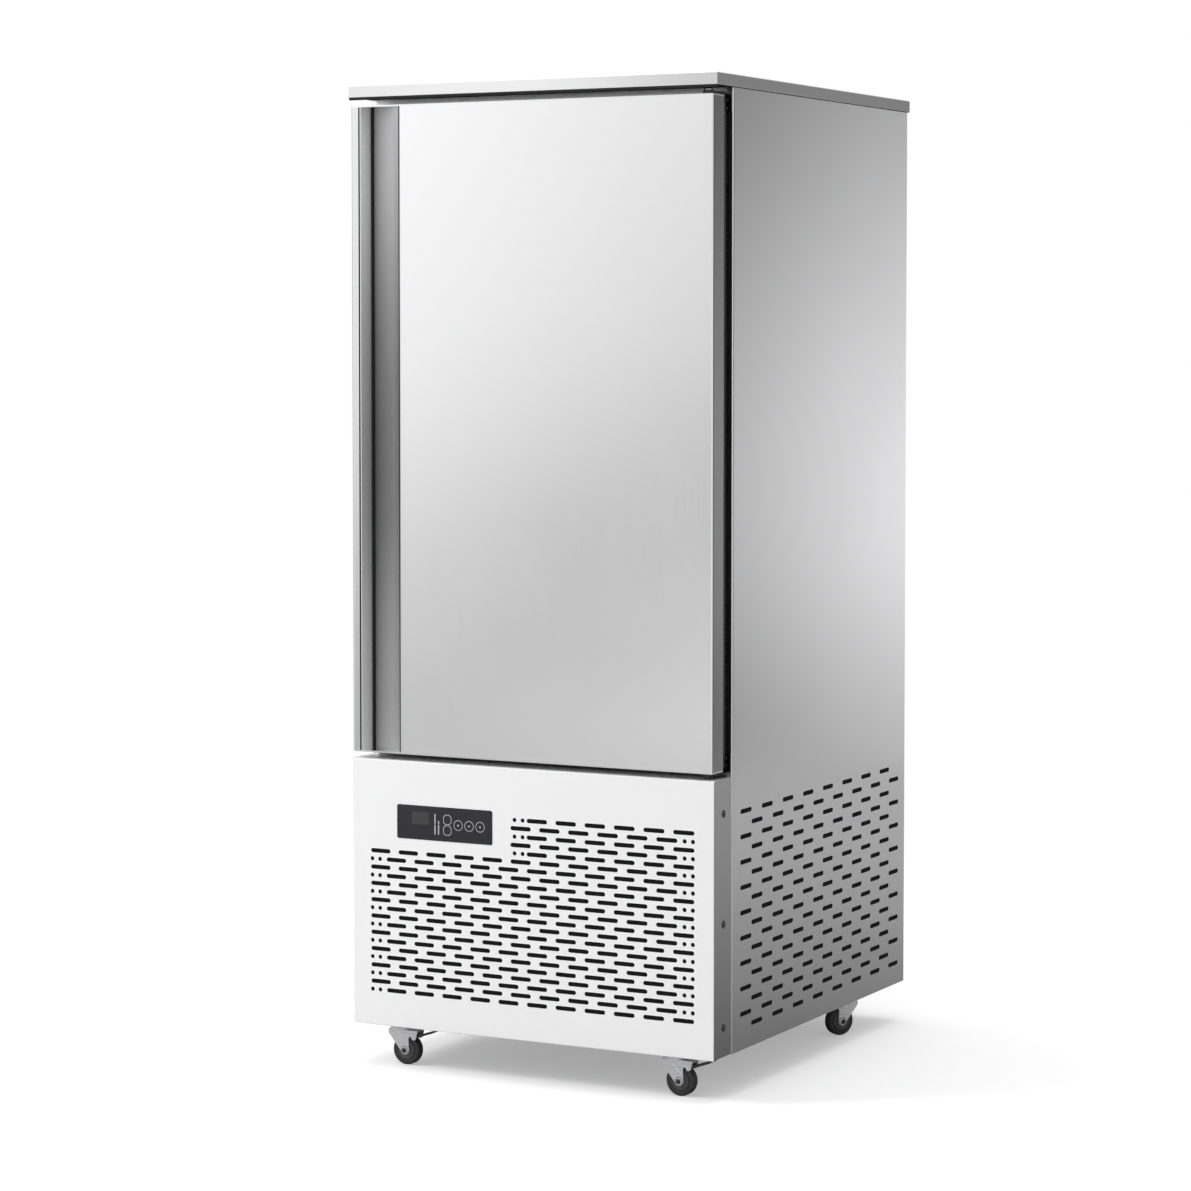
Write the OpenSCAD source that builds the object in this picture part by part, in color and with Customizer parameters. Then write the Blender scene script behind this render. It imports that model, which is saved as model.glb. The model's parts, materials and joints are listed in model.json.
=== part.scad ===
// Upright blast chiller on four swivel casters, with one insulated door and a machine bay below.
// Millimetres. Origin on the floor at the centre of the footprint, door on the -Y side, +Z up.

/* [Cabinet] */
// Width over the two side panels
body_w = 800; // [770:5:880]
// Depth from the door's front face to the back
body_d = 930; // [900:5:1000]
// Height from the floor to the top of the worktop
total_h = 1950; // [1900:5:2050]
// Thickness of the outer sheet
sheet_t = 1.2; // [0.8:0.1:2]
// Outer bend radius of the outer sheet
bend_r = 3; // [2.5:0.5:5]
// Thickness of the foam in walls, roof and floor
foam_t = 60; // [50:1:70]
// How far the cabinet's front is behind the door's
front_set = 78; // [74:1:90]
// Width of the side panels' front return
front_return = 13; // [10:1:16]
// Width of the side panels' rear return
rear_return = 15; // [10:1:20]
// How far the panels hang below the base pan
skirt_drop = 3; // [2:0.5:5]
// Thickness of the frame round the chamber opening
frame_t = 1.5; // [1:0.1:2]
// Depth of the frame's return into the chamber opening
frame_return = 10; // [6:1:16]

/* [Worktop] */
// Height of the worktop's edge
top_t = 25; // [20:1:40]
// Overhang past the side panels
top_side = 4; // [2:0.5:8]
// Overhang past the door's front and the back
top_end = 1; // [1:0.5:5]
// Thickness of the worktop's sheet
top_skin = 1.5; // [1:0.1:2]
// Width of the lip folded under the worktop
top_lip = 15; // [10:1:25]
// Radius of the worktop's upper edge
top_r = 3; // [2:0.5:5]
// Radius of the worktop's lower edge
top_hem_r = 1.5; // [0.8:0.1:2]

/* [Door] */
// Thickness of the door without its gasket
door_t = 64; // [60:1:70]
// Depth of the door's outer sheet
skin_d = 47; // [46:1:50]
// How far the inner rim stays inside the outer sheet
rim_in = 4; // [3:0.5:8]
// Thickness of the inner rim's walls
rim_t = 2.5; // [2:0.5:4]
// Thickness of the door's sheet
door_skin_t = 1; // [0.8:0.1:1.5]
// Gap between the door and the worktop
door_gap_top = 16; // [14:1:20]
// Gap between the door and the lower front panel
door_gap_bottom = 13; // [12:1:18]
// How far the door's hinge edge stays inside the cabinet's side
door_gap_hinge = 4.5; // [3:0.5:8]
// Thickness of the caps on the door's two ends
door_cap_t = 3; // [2:0.5:5]
// Width of the lip beside the handle channel
lip_w = 22.5; // [20:0.5:30]
// Width of the joint groove in the lip
lip_groove_w = 3.5; // [2:0.1:5]
// Depth of the joint groove in the lip
lip_groove_d = 10; // [6:1:14]
// Distance of the groove from the channel
lip_groove_in = 1.6; // [1.2:0.1:3]
// Width of the lip and the handle channel together
handle_w = 113; // [100:1:140]
// Depth of the handle channel
handle_d = 44; // [38:1:44]
// How far the channel's wall leans in under the lip
handle_lean = 0.5; // [0:0.5:8]
// Radius of the door's free vertical edge
door_free_r = 5; // [3:0.5:8]
// Radius of the door's hinge-side vertical edge
door_hinge_r = 3; // [2:0.5:5]
// Width of the skin's return on the door's back
door_return = 15; // [10:1:17]
// Height of the raised field on the door's inner panel
door_field_h = 7; // [4:1:9]
// Corner radius of the raised field
door_field_r = 24; // [15:1:40]

/* [Gasket] */
// Distance of the gasket's edge from the opening
gasket_out = 29; // [26:1:32]
// Width of the gasket's foot
gasket_w = 22; // [18:1:24]
// Width of the gasket's bellows
gasket_neck = 10; // [8:1:12]
// Width of the gasket's magnet strip
gasket_head = 18; // [14:1:20]
// Thickness of the gasket's foot
gasket_foot_t = 3; // [2:0.5:4]
// Thickness of the gasket's magnet strip
gasket_head_t = 5; // [4:0.5:6]
// Corner radius of the gasket
gasket_r = 8; // [4:1:12]

/* [Hinges] */
// Distance of the pivot from the door's hinge edge
pivot_in = 23.5; // [20:0.5:30]
// Distance of the pivot behind the door's front
pivot_back = 28; // [25:0.5:32]
// Radius of the hinge pins
pin_r = 5; // [4:0.5:6]
// Length of the pin inside the door
pin_len = 24; // [18:1:30]
// Radius of the pins' heads
pin_head_r = 9; // [8:0.5:10]
// Thickness of the pins' heads
pin_head_t = 3; // [2:0.5:4]
// Thickness of the hinge arm and its leg
hinge_t = 4; // [3:0.5:5]
// Radius of the arm round the pin
hinge_arm_r = 11; // [10:0.5:13]
// Width of the hinge's leg
hinge_leg_w = 22; // [18:1:24]
// Length of the hinge's leg
hinge_leg_h = 36; // [28:1:50]
// Wall of the bushes in the door
bush_wall = 2; // [1.5:0.5:3]
// Radius of the bushes' flanges
bush_flange_r = 10; // [9:0.5:12]
// Thickness of the bushes' flanges
bush_flange_t = 1.7; // [1:0.1:2.5]

/* [Chamber] */
// Thickness of the chamber's inner sheet
liner_t = 1; // [0.8:0.1:1.5]
// Radius of the chamber's upright corners
liner_r = 14; // [8:1:25]
// Outer radius of the drain tube
drain_r = 12; // [8:1:16]
// Wall of the drain tube
drain_wall = 1.5; // [1:0.1:2]
// Distance of the drain behind the chamber's front
drain_set = 330; // [250:10:400]

/* [Tray rack] */
// Distance of the ledges' backs from the chamber's sides
rack_side = 34; // [20:1:60]
// Number of tray levels
levels = 15; // [8:1:15]
// Height of the lowest ledge above the chamber floor
level_first = 60; // [50:1:90]
// Room above the rack, under the chamber's roof
rack_top = 49; // [30:1:90]
// Width of a ledge
ledge_w = 20; // [16:1:24]
// Height of a ledge's hanging edge
ledge_web = 14; // [10:1:18]
// Thickness of ledges and uprights
rack_t = 1.5; // [1:0.1:2]
// Width of an upright
upright_w = 26; // [20:1:34]
// Distance of the front uprights behind the chamber's front
rack_front = 46; // [35:1:80]
// Length of a ledge
ledge_len = 470; // [430:5:480]
// Length of the hook slots in the uprights
hook_slot = 14; // [10:1:20]
// Width of the hook slots in the uprights
hook_slot_w = 5; // [4:0.5:7]

/* [Evaporator] */
// Distance of the fan plate in front of the chamber's back
plate_set = 252; // [245:1:262]
// Side margin of the fan plate
plate_side = 38; // [30:1:60]
// Margin of the fan plate at the chamber's floor
plate_low = 36; // [25:1:60]
// Margin of the fan plate at the chamber's roof
plate_high = 24; // [10:1:60]
// Depth of the fan plate's folded edges
plate_edge = 34; // [20:1:60]
// Thickness of the fan plate
plate_sheet = 1.2; // [1:0.1:2]
// Outer diameter of the evaporator fans
fan_d = 254; // [200:2:280]
// Diameter of the evaporator fans' hubs
fan_hub_d = 92; // [80:2:110]
// Depth of the evaporator fans
fan_h = 30; // [24:1:36]
// Radius of the fans' shafts
shaft_r = 4; // [3:0.5:6]
// Gap between a fan's tips and its inlet ring
fan_gap = 5; // [3:0.5:10]
// Depth of an inlet ring
inlet_d = 26; // [16:1:36]
// Height between the evaporator fans
fan_pitch = 350; // [330:5:370]
// Diameter of the evaporator fan motors
motor_d = 84; // [70:1:100]
// Length of the evaporator fan motors
motor_l = 52; // [40:1:56]
// Pitch of the guard rings
guard_pitch = 21; // [16:1:30]
// Diameter of the guard wire
guard_wire = 3; // [2:0.5:4]
// Stand-off of the guards in front of the fan plate
guard_off = 16; // [12:1:24]
// Width of the evaporator coil
coil_w = 480; // [400:10:520]
// Depth of the evaporator coil
coil_d = 132; // [100:2:140]
// Pitch of the evaporator's fins
coil_fin_pitch = 8; // [6:1:12]
// Distance of the coil in front of the chamber's back
coil_back = 14; // [8:1:20]
// Radius of the coil's tubes
coil_tube_r = 5; // [4:0.5:6]
// Height of the drip tray
drip_h = 22; // [16:1:30]

/* [Lower front panel] */
// Height of the lower front panel
grille_h = 533; // [525:1:560]
// Depth of the panel's side flanges
flange_d = 73; // [60:1:73]
// Depth of the panel's lower flange
foot_flange_d = 12; // [8:1:14]
// Length of a front slot
slot_l = 45; // [40:1:50]
// Width of a front slot and diameter of a dot
slot_d = 8.6; // [6:0.1:9.4]
// Margin between the front slots and the cabinet's sides
slot_side = 42; // [40:1:50]
// Height between rows of front slots
slot_pz = 16.35; // [14:0.05:17]
// Number of slots in a full row
slot_cols = 11; // [9:1:11]
// Number of full rows
slot_rows = 18; // [12:1:18]
// Number of short rows beside the controller
slot_short_rows = 5; // [3:1:5]
// Number of slots in a short row
slot_short_cols = 6; // [4:1:6]
// Height of the lowest row above the panel's edge
slot_z0 = 72.2; // [60:1:80]
// Sideways shift between alternate rows
slot_shift = 36; // [30:1:40]
// Distance of the two dots from a full row's end slot
dot_px = [37.8, 55.4]; // [30:0.1:60]
// The same distance in a short row
dot_short = [31.6, 49.5]; // [30:0.1:60]
// Radius of the panel screws' heads
screw_head_r = 5; // [4:0.5:6]
// Height of the panel screws' heads
screw_head_h = 2.2; // [1.5:0.1:3]
// Radius of the panel screws' shanks
screw_r = 2; // [1.5:0.5:2.5]
// Length of the panel screws' shanks
screw_l = 9; // [6:1:14]
// Distance of the panel screws behind the panel's front
screw_set = 41; // [30:1:50]
// Heights of the panel screws above the panel's edge
screw_zs = [58, 256, 467]; // [30:1:500]

/* [Controller] */
// Width of the controller's face
ctrl_w = 216; // [180:1:230]
// Height of the controller's face
ctrl_h = 67; // [50:1:72]
// Gap between the face and the short rows of slots
ctrl_gap = 45.2; // [40:0.1:60]
// Height of the face above the panel's edge
ctrl_z = 379; // [372:1:385]
// Thickness of the face
ctrl_face_t = 3; // [2:0.5:4]
// How far the face stands proud of the panel
ctrl_proud = 0.6; // [0:0.1:0.9]
// Corner radius of the face
ctrl_r = 4; // [2:0.5:8]
// Depth of the housing behind the panel
ctrl_depth = 54; // [40:1:60]
// Radius of a button
button_r = 9; // [7:0.5:10]
// Distance between the buttons
button_px = 24.7; // [22:0.1:28]
// Distance of the middle button from the face's left edge
button_x = 164.2; // [150:0.1:170]
// How far a button stands proud of the panel at rest
button_proud = 1; // [0.7:0.1:1]
// Thickness of a button's cap
button_t = 4.5; // [3:0.5:6]
// Travel of a button
button_travel = 1; // [0.5:0.1:1.5]
// Radius of a button's stem
button_stem_r = 3; // [2:0.5:4]
// Length of a button's stem
button_stem_l = 5; // [3:0.5:8]

/* [Side and rear vents] */
// Length of a side slot
vent_l = 50; // [40:1:56]
// Width of a side slot
vent_d = 9; // [6:0.5:10]
// Margin between the side slots and the cabinet's back
vent_back = 36; // [36:1:60]
// Height between rows of one column
vent_pz = 49; // [44:1:50]
// Number of slots in a row
vent_cols = 8; // [6:1:8]
// Number of rows in a column
vent_rows = 9; // [6:1:9]
// Distance of the first slot behind the front
vent_y0 = 139.6; // [130:1:150]
// Height of the lowest slot above the panel's edge
vent_z0 = 45; // [40:1:60]
// Shift of every second row, in shares of the slots' distance
vent_shift = 0.52; // [0.4:0.01:0.6]
// Number of slots across the rear cover
rear_cols = 7; // [4:1:7]
// Thickness of the filter mats behind the slots
mat_t = 4; // [2:0.5:8]
// Margin of the filter mats round the slots
mat_edge = 0.5; // [0.3:0.1:1]

/* [Machine bay] */
// Thickness of the base pan
pan_t = 2; // [1.5:0.1:3]
// Height of the base pan's upstand
pan_h = 36; // [25:1:50]
// Width of the corner posts' flanges
post_w = 28; // [20:1:36]
// Thickness of the corner posts
post_t = 2; // [1.5:0.1:3]
// Depth of the deck's folded edges
deck_edge = 24; // [16:1:34]
// How far the deck lies below the lower front panel's top
deck_drop = 3; // [2:0.5:5]
// Height of the condenser
cond_h = 380; // [320:5:390]
// Depth of the condenser
cond_d = 66; // [44:2:80]
// Distance of the condenser behind the front
cond_set = 84; // [80:1:100]
// Distance of the condenser from the left side
cond_left = 306; // [300:1:320]
// Distance of the condenser from the right side
cond_side = 46; // [40:1:60]
// Pitch of the condenser's fins
cond_fin_pitch = 7; // [5:1:10]
// Depth of the condenser's fan shroud
shroud_d = 46; // [36:1:60]
// Outer diameter of the condenser fan
cond_fan_d = 300; // [250:5:310]
// Diameter of the condenser fan's hub
cond_hub_d = 104; // [90:2:120]
// Depth of the condenser fan
cond_fan_h = 32; // [26:1:38]
// Diameter of the condenser fan's motor
cond_motor_d = 96; // [80:1:110]
// Length of the condenser fan's motor
cond_motor_l = 74; // [60:1:90]
// Radius of the compressor's can
comp_r = 105; // [90:1:115]
// Height of the compressor's can
comp_h = 290; // [240:5:320]
// Distance of the compressor's axis from the back
comp_back = 215; // [200:5:230]
// Distance of the compressor's axis from the right side
comp_side = 280; // [270:5:290]
// Height of the rubber feet under the compressor
comp_feet_h = 18; // [14:1:26]
// Radius of the liquid receiver
recv_r = 52; // [40:1:60]
// Height of the liquid receiver
recv_h = 230; // [180:5:260]
// Radius of the filter drier
drier_r = 24; // [18:1:30]
// Length of the filter drier
drier_l = 130; // [100:5:150]
// Radius of the wide suction pipe
suction_r = 8; // [6:0.5:10]
// Radius of the narrow liquid pipe
liquid_r = 5; // [4:0.5:6]
// Gap between the electrical box and the pipe beside it
box_gap = 29; // [20:1:60]
// Height of the electrical box
box_h = 250; // [200:5:280]
// Depth of the electrical box
box_d = 110; // [90:5:130]
// Width of the melt-water pan
melt_w = 120; // [90:5:140]
// Height of the melt-water pan
melt_h = 40; // [30:1:50]

/* [Casters] */
// Diameter of the wheels
wheel_d = 60; // [55:1:65]
// Width of the wheels' tread
wheel_w = 20; // [16:1:24]
// Gap between the tyre and the fork's crown
tyre_gap = 8; // [7:0.5:12]
// Thickness of the fork's sheet
fork_t = 2.5; // [2:0.5:3]
// Height of the ball races between fork and plate
race_h = 13.5; // [12:0.5:16]
// Radius of the ball races
race_r = 22; // [18:1:26]
// Thickness of the mounting plates
plate_t = 3; // [2.5:0.5:4]
// Side of the mounting plates
plate_w = 70; // [60:1:76]
// How far the axle trails behind the swivel axis
trail = 16; // [12:1:20]
// Gap between the wheel and each fork leg
leg_gap = 1.6; // [1:0.1:3]
// Radius of the axle
axle_r = 4; // [3:0.5:5]
// Radius of the king pin
king_r = 5; // [4:0.5:6]
// Distance of the front casters behind the front
caster_front = 54; // [50:1:60]
// Distance of the left front caster from the left side
caster_left = 79; // [75:1:110]
// Distance of the right front caster from the right side
caster_right = 110; // [75:1:115]
// Distance of the rear casters from the back
caster_rear = 197; // [150:1:220]
// Distance of the rear casters from the sides
caster_rear_in = 50; // [46:1:80]
// Headings of the casters: front left and right, rear left and right
caster_turn = [0, 0, -104, -122]; // [-180:1:180]

/* [Hidden] */
$fn = 48;

// Overshoot of cuts, and the clearances between pieces
cut = 1;
loose = 0.3;
fit = 0.05;
// Steps in a bend's arc
bend_steps = 5;

// Places worked out from the sizes above
hx = body_w / 2;
front_y = -body_d / 2;
back_y = body_d / 2;
top_z = total_h - top_t;
base_z = wheel_d + tyre_gap + fork_t + race_h + plate_t;
skirt_z = base_z - skirt_drop;
grille_z1 = skirt_z + grille_h;
frame_y = front_y + front_set;
in_x = hx - sheet_t;
in_back = back_y - 2 * sheet_t;
deck_z = grille_z1 - deck_drop;
door_x0 = -hx;
door_x1 = hx - door_gap_hinge;
door_z0 = grille_z1 + door_gap_bottom;
door_z1 = top_z - door_gap_top;
door_back = front_y + door_t;
cham_x = in_x - foam_t - liner_t;
cham_y1 = in_back - foam_t - liner_t;
cham_z0 = deck_z + foam_t + liner_t;
cham_z1 = top_z - foam_t - liner_t;
cham_h = cham_z1 - cham_z0;
cham_mid = (cham_z0 + cham_z1) / 2;
foam_y0 = frame_y + frame_t;
pivot_x = door_x1 - pivot_in;
pivot_y = front_y + pivot_back;
bush_r = pin_r + fit + bush_wall;
rack_x = cham_x - rack_side;
level_pitch = (cham_h - level_first - rack_top) / levels;
plate_y = cham_y1 - plate_set;
plate_hx = cham_x - plate_side;
plate_z0 = cham_z0 + plate_low;
plate_z1 = cham_z1 - plate_high;
fan_y = plate_y + inlet_d / 2;
coil_z0 = plate_z0 + drip_h + 20;
coil_z1 = plate_z1 - 20;
coil_y1 = cham_y1 - coil_back;
floor_z = base_z + pan_t;
cond_z0 = floor_z + 24;
cond_y0 = front_y + cond_set;
cond_y1 = cond_y0 + cond_d;
cond_mid = cond_z0 + cond_h / 2;
cond_fan_y = cond_y1 + shroud_d;
cond_x = (cond_left - cond_side) / 2;
cond_half = hx - cond_side - cond_x;
comp_x = hx - comp_side;
comp_y = back_y - comp_back;
slot_px = (2 * (hx - slot_side) - slot_l - slot_shift) / (slot_cols - 1);
slot_half = hx - slot_side - slot_l / 2;
short_x = slot_half - slot_px * (slot_short_cols - 1);
short_x0 = short_x - dot_short[1] - slot_d / 2;
vent_py = (body_d - vent_y0 - vent_back - vent_l / 2) / (vent_cols - 1 + vent_shift);
comp_z = floor_z + comp_feet_h;
fork_z = wheel_d + tyre_gap + fork_t;
race_split = fork_z + (race_h - loose) / 2;
fork_half = wheel_w / 2 + leg_gap + fork_t;
caster_xy = [
  [-hx + caster_left, front_y + caster_front],
  [hx - caster_right, front_y + caster_front],
  [-hx + caster_rear_in, back_y - caster_rear],
  [hx - caster_rear_in, back_y - caster_rear]
];

// ---- outlines ----

function unit(v) = v / norm(v);
function xy(p) = [p[0], p[1]];
function left_of(a, b) = let (d = unit(b - a)) [-d[1], d[0]];

// Corner b of the path a, b, c, turned into an arc of radius r
function corner(a, b, c, r) =
  r <= 0 ? [b] :
  let (
    u = unit(a - b),
    w = unit(c - b),
    half = acos(u * w) / 2,
    mid = b + unit(u + w) * r / sin(half),
    start = b + u * r / tan(half) - mid,
    stop = b + w * r / tan(half) - mid,
    from = atan2(start[1], start[0]),
    sweep = atan2(stop[1], stop[0]) - from,
    turn = sweep > 180 ? sweep - 360 : sweep < -180 ? sweep + 360 : sweep
  )
  [for (i = [0 : bend_steps])
    mid + r * [cos(from + turn * i / bend_steps), sin(from + turn * i / bend_steps)]];

// Closed outline whose points are [x, y, radius]
function outline(pts) = [
  for (i = [0 : len(pts) - 1])
    let (n = len(pts))
    each corner(xy(pts[(i + n - 1) % n]), xy(pts[i]), xy(pts[(i + 1) % n]), pts[i][2])
];

// The same outline moved t to the left of its own direction
function moved(a, p, c, t) =
  let (
    b = xy(p),
    m = unit(left_of(a, b) + left_of(b, c)),
    bends_left = cross(b - a, c - b) > 0
  )
  concat(
    b + m * t / (m * left_of(a, b)),
    p[2] <= 0 ? 0 : bends_left ? max(p[2] - t, 0) : p[2] + t
  );
function inset(pts, t) = [
  for (i = [0 : len(pts) - 1])
    let (n = len(pts))
    moved(xy(pts[(i + n - 1) % n]), pts[i], xy(pts[(i + 1) % n]), t)
];

// Section of a folded sheet: an open path and the same path t to its left
function folded(pts, t) =
  let (
    n = len(pts),
    first = xy(pts[0]) + left_of(xy(pts[0]), xy(pts[1])) * t,
    last = xy(pts[n - 1]) + left_of(xy(pts[n - 2]), xy(pts[n - 1])) * t,
    inner = [for (i = [1 : n - 2]) moved(xy(pts[i - 1]), pts[i], xy(pts[i + 1]), t)],
    back = concat([concat(first, 0)], inner, [concat(last, 0)])
  )
  outline(concat(pts, [for (i = [n - 1 : -1 : 0]) back[i]]));

// ---- shared forms ----

// A 2D child drawn in X and Z, made solid from y0 to y1
module across(y0, y1) {
  translate([0, y1, 0]) rotate([90, 0, 0]) linear_extrude(y1 - y0) children();
}

// A 2D child drawn in Y and Z, made solid from x0 to x1
module along(x0, x1) {
  translate([x0, 0, 0]) rotate([90, 0, 90]) linear_extrude(x1 - x0) children();
}

// A 2D child drawn in plan, made solid from z0 to z1
module upright(z0, z1) {
  translate([0, 0, z0]) linear_extrude(z1 - z0) children();
}

// A box between two corners
module block(a, b) {
  translate(a) cube(b - a);
}

// A rectangle between two corners, with rounded corners
module rounded(a, b, r) {
  polygon(outline([[a[0], a[1], r], [b[0], a[1], r], [b[0], b[1], r], [a[0], b[1], r]]));
}

module slot(l, d) {
  square([l - d, d], center = true);
  for (s = [-1, 1]) translate([s * (l - d) / 2, 0]) circle(d = d);
}

// A round bar from a to b
module bar(a, b, r) {
  d = b - a;
  translate(a)
    rotate([0, atan2(norm(xy(d)), d[2]), atan2(d[1], d[0])])
      cylinder(r = r, h = norm(d));
}

// A quarter bend of a tube: it comes in along u and leaves along w at corner p
module elbow(p, u, w, bend, r) {
  n = cross(-w, u);
  c = p - u * bend + w * bend;
  multmatrix([
    [-w[0], u[0], n[0], c[0]],
    [-w[1], u[1], n[1], c[1]],
    [-w[2], u[2], n[2], c[2]],
    [0, 0, 0, 1]
  ])
    rotate_extrude(angle = 90) translate([bend, 0]) circle(r = r);
}

// A tube of square turns through the given points
module tube_run(pts, r, bend) {
  n = len(pts);
  for (i = [0 : n - 2]) {
    d = unit(pts[i + 1] - pts[i]);
    bar(pts[i] + d * (i > 0 ? bend : 0), pts[i + 1] - d * (i < n - 2 ? bend : 0), r);
  }
  for (i = [1 : n - 2])
    elbow(pts[i], unit(pts[i] - pts[i - 1]), unit(pts[i + 1] - pts[i]), bend, r);
}

// ---- outer shell ----

// Rows of slots in the lower third of a side, drawn in Y and Z
module side_slots() {
  for (i = [0 : vent_cols - 1], j = [0 : vent_rows - 1], odd = [0, 1])
    translate([
      front_y + vent_y0 + vent_py * (i + odd * vent_shift),
      skirt_z + vent_z0 + vent_pz * (j + (1 - odd) / 2)
    ])
      slot(vent_l, vent_d);
}

module side_panel() {
  color("silver")
    difference() {
      upright(skirt_z, top_z)
        polygon(folded([
          [hx - front_return, frame_y, 0],
          [hx, frame_y, bend_r],
          [hx, back_y, bend_r],
          [hx - rear_return, back_y, 0]
        ], sheet_t));
      along(in_x - cut, hx + cut) side_slots();
    }
}

module left_side_panel() {
  mirror([1, 0, 0]) side_panel();
}

module right_side_panel() {
  side_panel();
}

// Two tool sections crossed: a slab with folded edges all round, from z0 to z1
module tray_block(x0, x1, y0, y1, z0, z1, low_r, high_r) {
  intersection() {
    across(y0, y1)
      polygon(outline([[x0, z0, low_r], [x1, z0, low_r], [x1, z1, high_r], [x0, z1, high_r]]));
    along(x0, x1)
      polygon(outline([[y0, z0, low_r], [y1, z0, low_r], [y1, z1, high_r], [y0, z1, high_r]]));
  }
}

top_x = hx + top_side;
top_y = back_y + top_end;

module worktop() {
  color("gainsboro")
    difference() {
      tray_block(-top_x, top_x, -top_y, top_y, top_z, total_h, top_hem_r, top_r);
      block(
        [-top_x + top_skin, -top_y + top_skin, top_z + top_skin],
        [top_x - top_skin, top_y - top_skin, total_h - top_skin]
      );
      block(
        [-top_x + top_lip, -top_y + top_lip, top_z - cut],
        [top_x - top_lip, top_y - top_lip, top_z + top_skin + cut]
      );
    }
}

module worktop_core() {
  color("burlywood") {
    block(
      [-top_x + top_skin, -top_y + top_skin, top_z + top_skin],
      [top_x - top_skin, top_y - top_skin, total_h - top_skin]
    );
    block(
      [-top_x + top_lip, -top_y + top_lip, top_z],
      [top_x - top_lip, top_y - top_lip, top_z + top_skin]
    );
  }
}

rear_x = in_x - bend_r;

module rear_panel() {
  color("silver")
    block([-rear_x, in_back, deck_z], [rear_x, back_y - sheet_t, top_z]);
}

module rear_grille() {
  color("silver")
    difference() {
      block([-rear_x, in_back, skirt_z], [rear_x, back_y - sheet_t, deck_z - loose]);
      across(in_back - cut, back_y)
        for (i = [0 : rear_cols - 1], j = [0 : vent_rows - 1], odd = [0, 1])
          translate([
            vent_py * (i - (rear_cols - 1) / 2 + (odd - 0.5) / 2),
            skirt_z + vent_z0 + vent_pz * (j + (1 - odd) / 2)
          ])
            slot(vent_l, vent_d);
    }
}

module front_frame() {
  frame_x = hx - front_return - loose;
  color("silver")
    difference() {
      union() {
        across(frame_y, foam_y0)
          polygon([[-frame_x, deck_z], [frame_x, deck_z], [frame_x, top_z], [-frame_x, top_z]]);
        block(
          [-cham_x - liner_t, foam_y0 - cut, cham_z0 - liner_t],
          [cham_x + liner_t, frame_y + frame_return, cham_z1 + liner_t]
        );
      }
      block(
        [-cham_x, frame_y - cut, cham_z0],
        [cham_x, frame_y + frame_return + cut, cham_z1]
      );
    }
}

// ---- structure of the machine bay ----

front_in = front_y + sheet_t;

module base_frame() {
  notch_x = hx - front_return - loose;
  color("lightgray")
    difference() {
      upright(base_z, base_z + pan_h) rounded([-in_x, front_in], [in_x, in_back], bend_r);
      upright(floor_z, base_z + pan_h + cut)
        rounded([-in_x + pan_t, front_in + pan_t], [in_x - pan_t, in_back - pan_t], bend_r - pan_t);
      for (x = [-in_x - cut, notch_x])
        block(
          [x, frame_y - loose, base_z - cut],
          [x + in_x + cut - notch_x, frame_y + bend_r + loose, base_z + pan_h + cut]
        );
      for (p = caster_xy, sx = [-1, 1], sy = [-1, 1])
        translate([p[0] + sx * plate_hole, p[1] + sy * plate_hole, base_z - cut])
          cylinder(r = plate_bolt_r, h = pan_t + 2 * cut);
    }
}

module corner_posts() {
  post_x = in_x - pan_t;
  post_y = front_in + pan_t;
  rear_y = in_back - 2 * pan_t;
  color("lightgray")
    for (s = [0, 1])
      mirror([s, 0, 0]) {
        difference() {
          upright(floor_z, grille_z1 - sheet_t)
            polygon(folded([
              [post_x - post_w, post_y, 0],
              [post_x, post_y, bend_r],
              [post_x, post_y + screw_set + post_w, 0]
            ], post_t));
          panel_screw_places() cylinder(r = screw_r + loose, h = 2 * screw_l, center = true);
        }
        upright(floor_z, deck_z - sheet_t)
          polygon(folded([
            [post_x, rear_y - post_w, 0],
            [post_x, rear_y, bend_r],
            [post_x - post_w, rear_y, 0]
          ], post_t));
      }
}

// The deck stays clear of the bends in the side panels
deck_x = in_x - bend_r / 2;

module machine_deck() {
  color("lightgray")
    difference() {
      along(-deck_x, deck_x)
        polygon(folded([
          [foam_y0, deck_z - deck_edge, 0],
          [foam_y0, deck_z, bend_r],
          [in_back, deck_z, bend_r],
          [in_back, deck_z - deck_edge, 0]
        ], -sheet_t));
      deck_holes();
    }
}

// Holes for the drain and the two refrigerant pipes, through deck and foam
module deck_holes() {
  for (h = [
    [0, frame_y + drain_set, drain_r + loose],
    [riser_x, riser_y, suction_r + loose],
    [-riser_x, riser_y, liquid_r + loose]
  ])
    translate([h[0], h[1], deck_z - 2 * cut]) cylinder(r = h[2], h = foam_t + liner_t + 3 * cut);
}

module cabinet_foam() {
  side_x = in_x - foam_t;
  color("khaki") {
    for (s = [0, 1])
      mirror([s, 0, 0])
        upright(deck_z, top_z)
          polygon(outline([
            [side_x, foam_y0, 0],
            [in_x, foam_y0, bend_r],
            [in_x, in_back, bend_r],
            [side_x, in_back, 0]
          ]));
    difference() {
      block(
        [-side_x + loose, foam_y0, deck_z],
        [side_x - loose, in_back - foam_t - loose, deck_z + foam_t]
      );
      deck_holes();
    }
    block(
      [-side_x + loose, foam_y0, top_z - foam_t],
      [side_x - loose, in_back - foam_t - loose, top_z]
    );
    block(
      [-side_x + loose, in_back - foam_t, deck_z],
      [side_x - loose, in_back, top_z]
    );
  }
}

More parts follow.
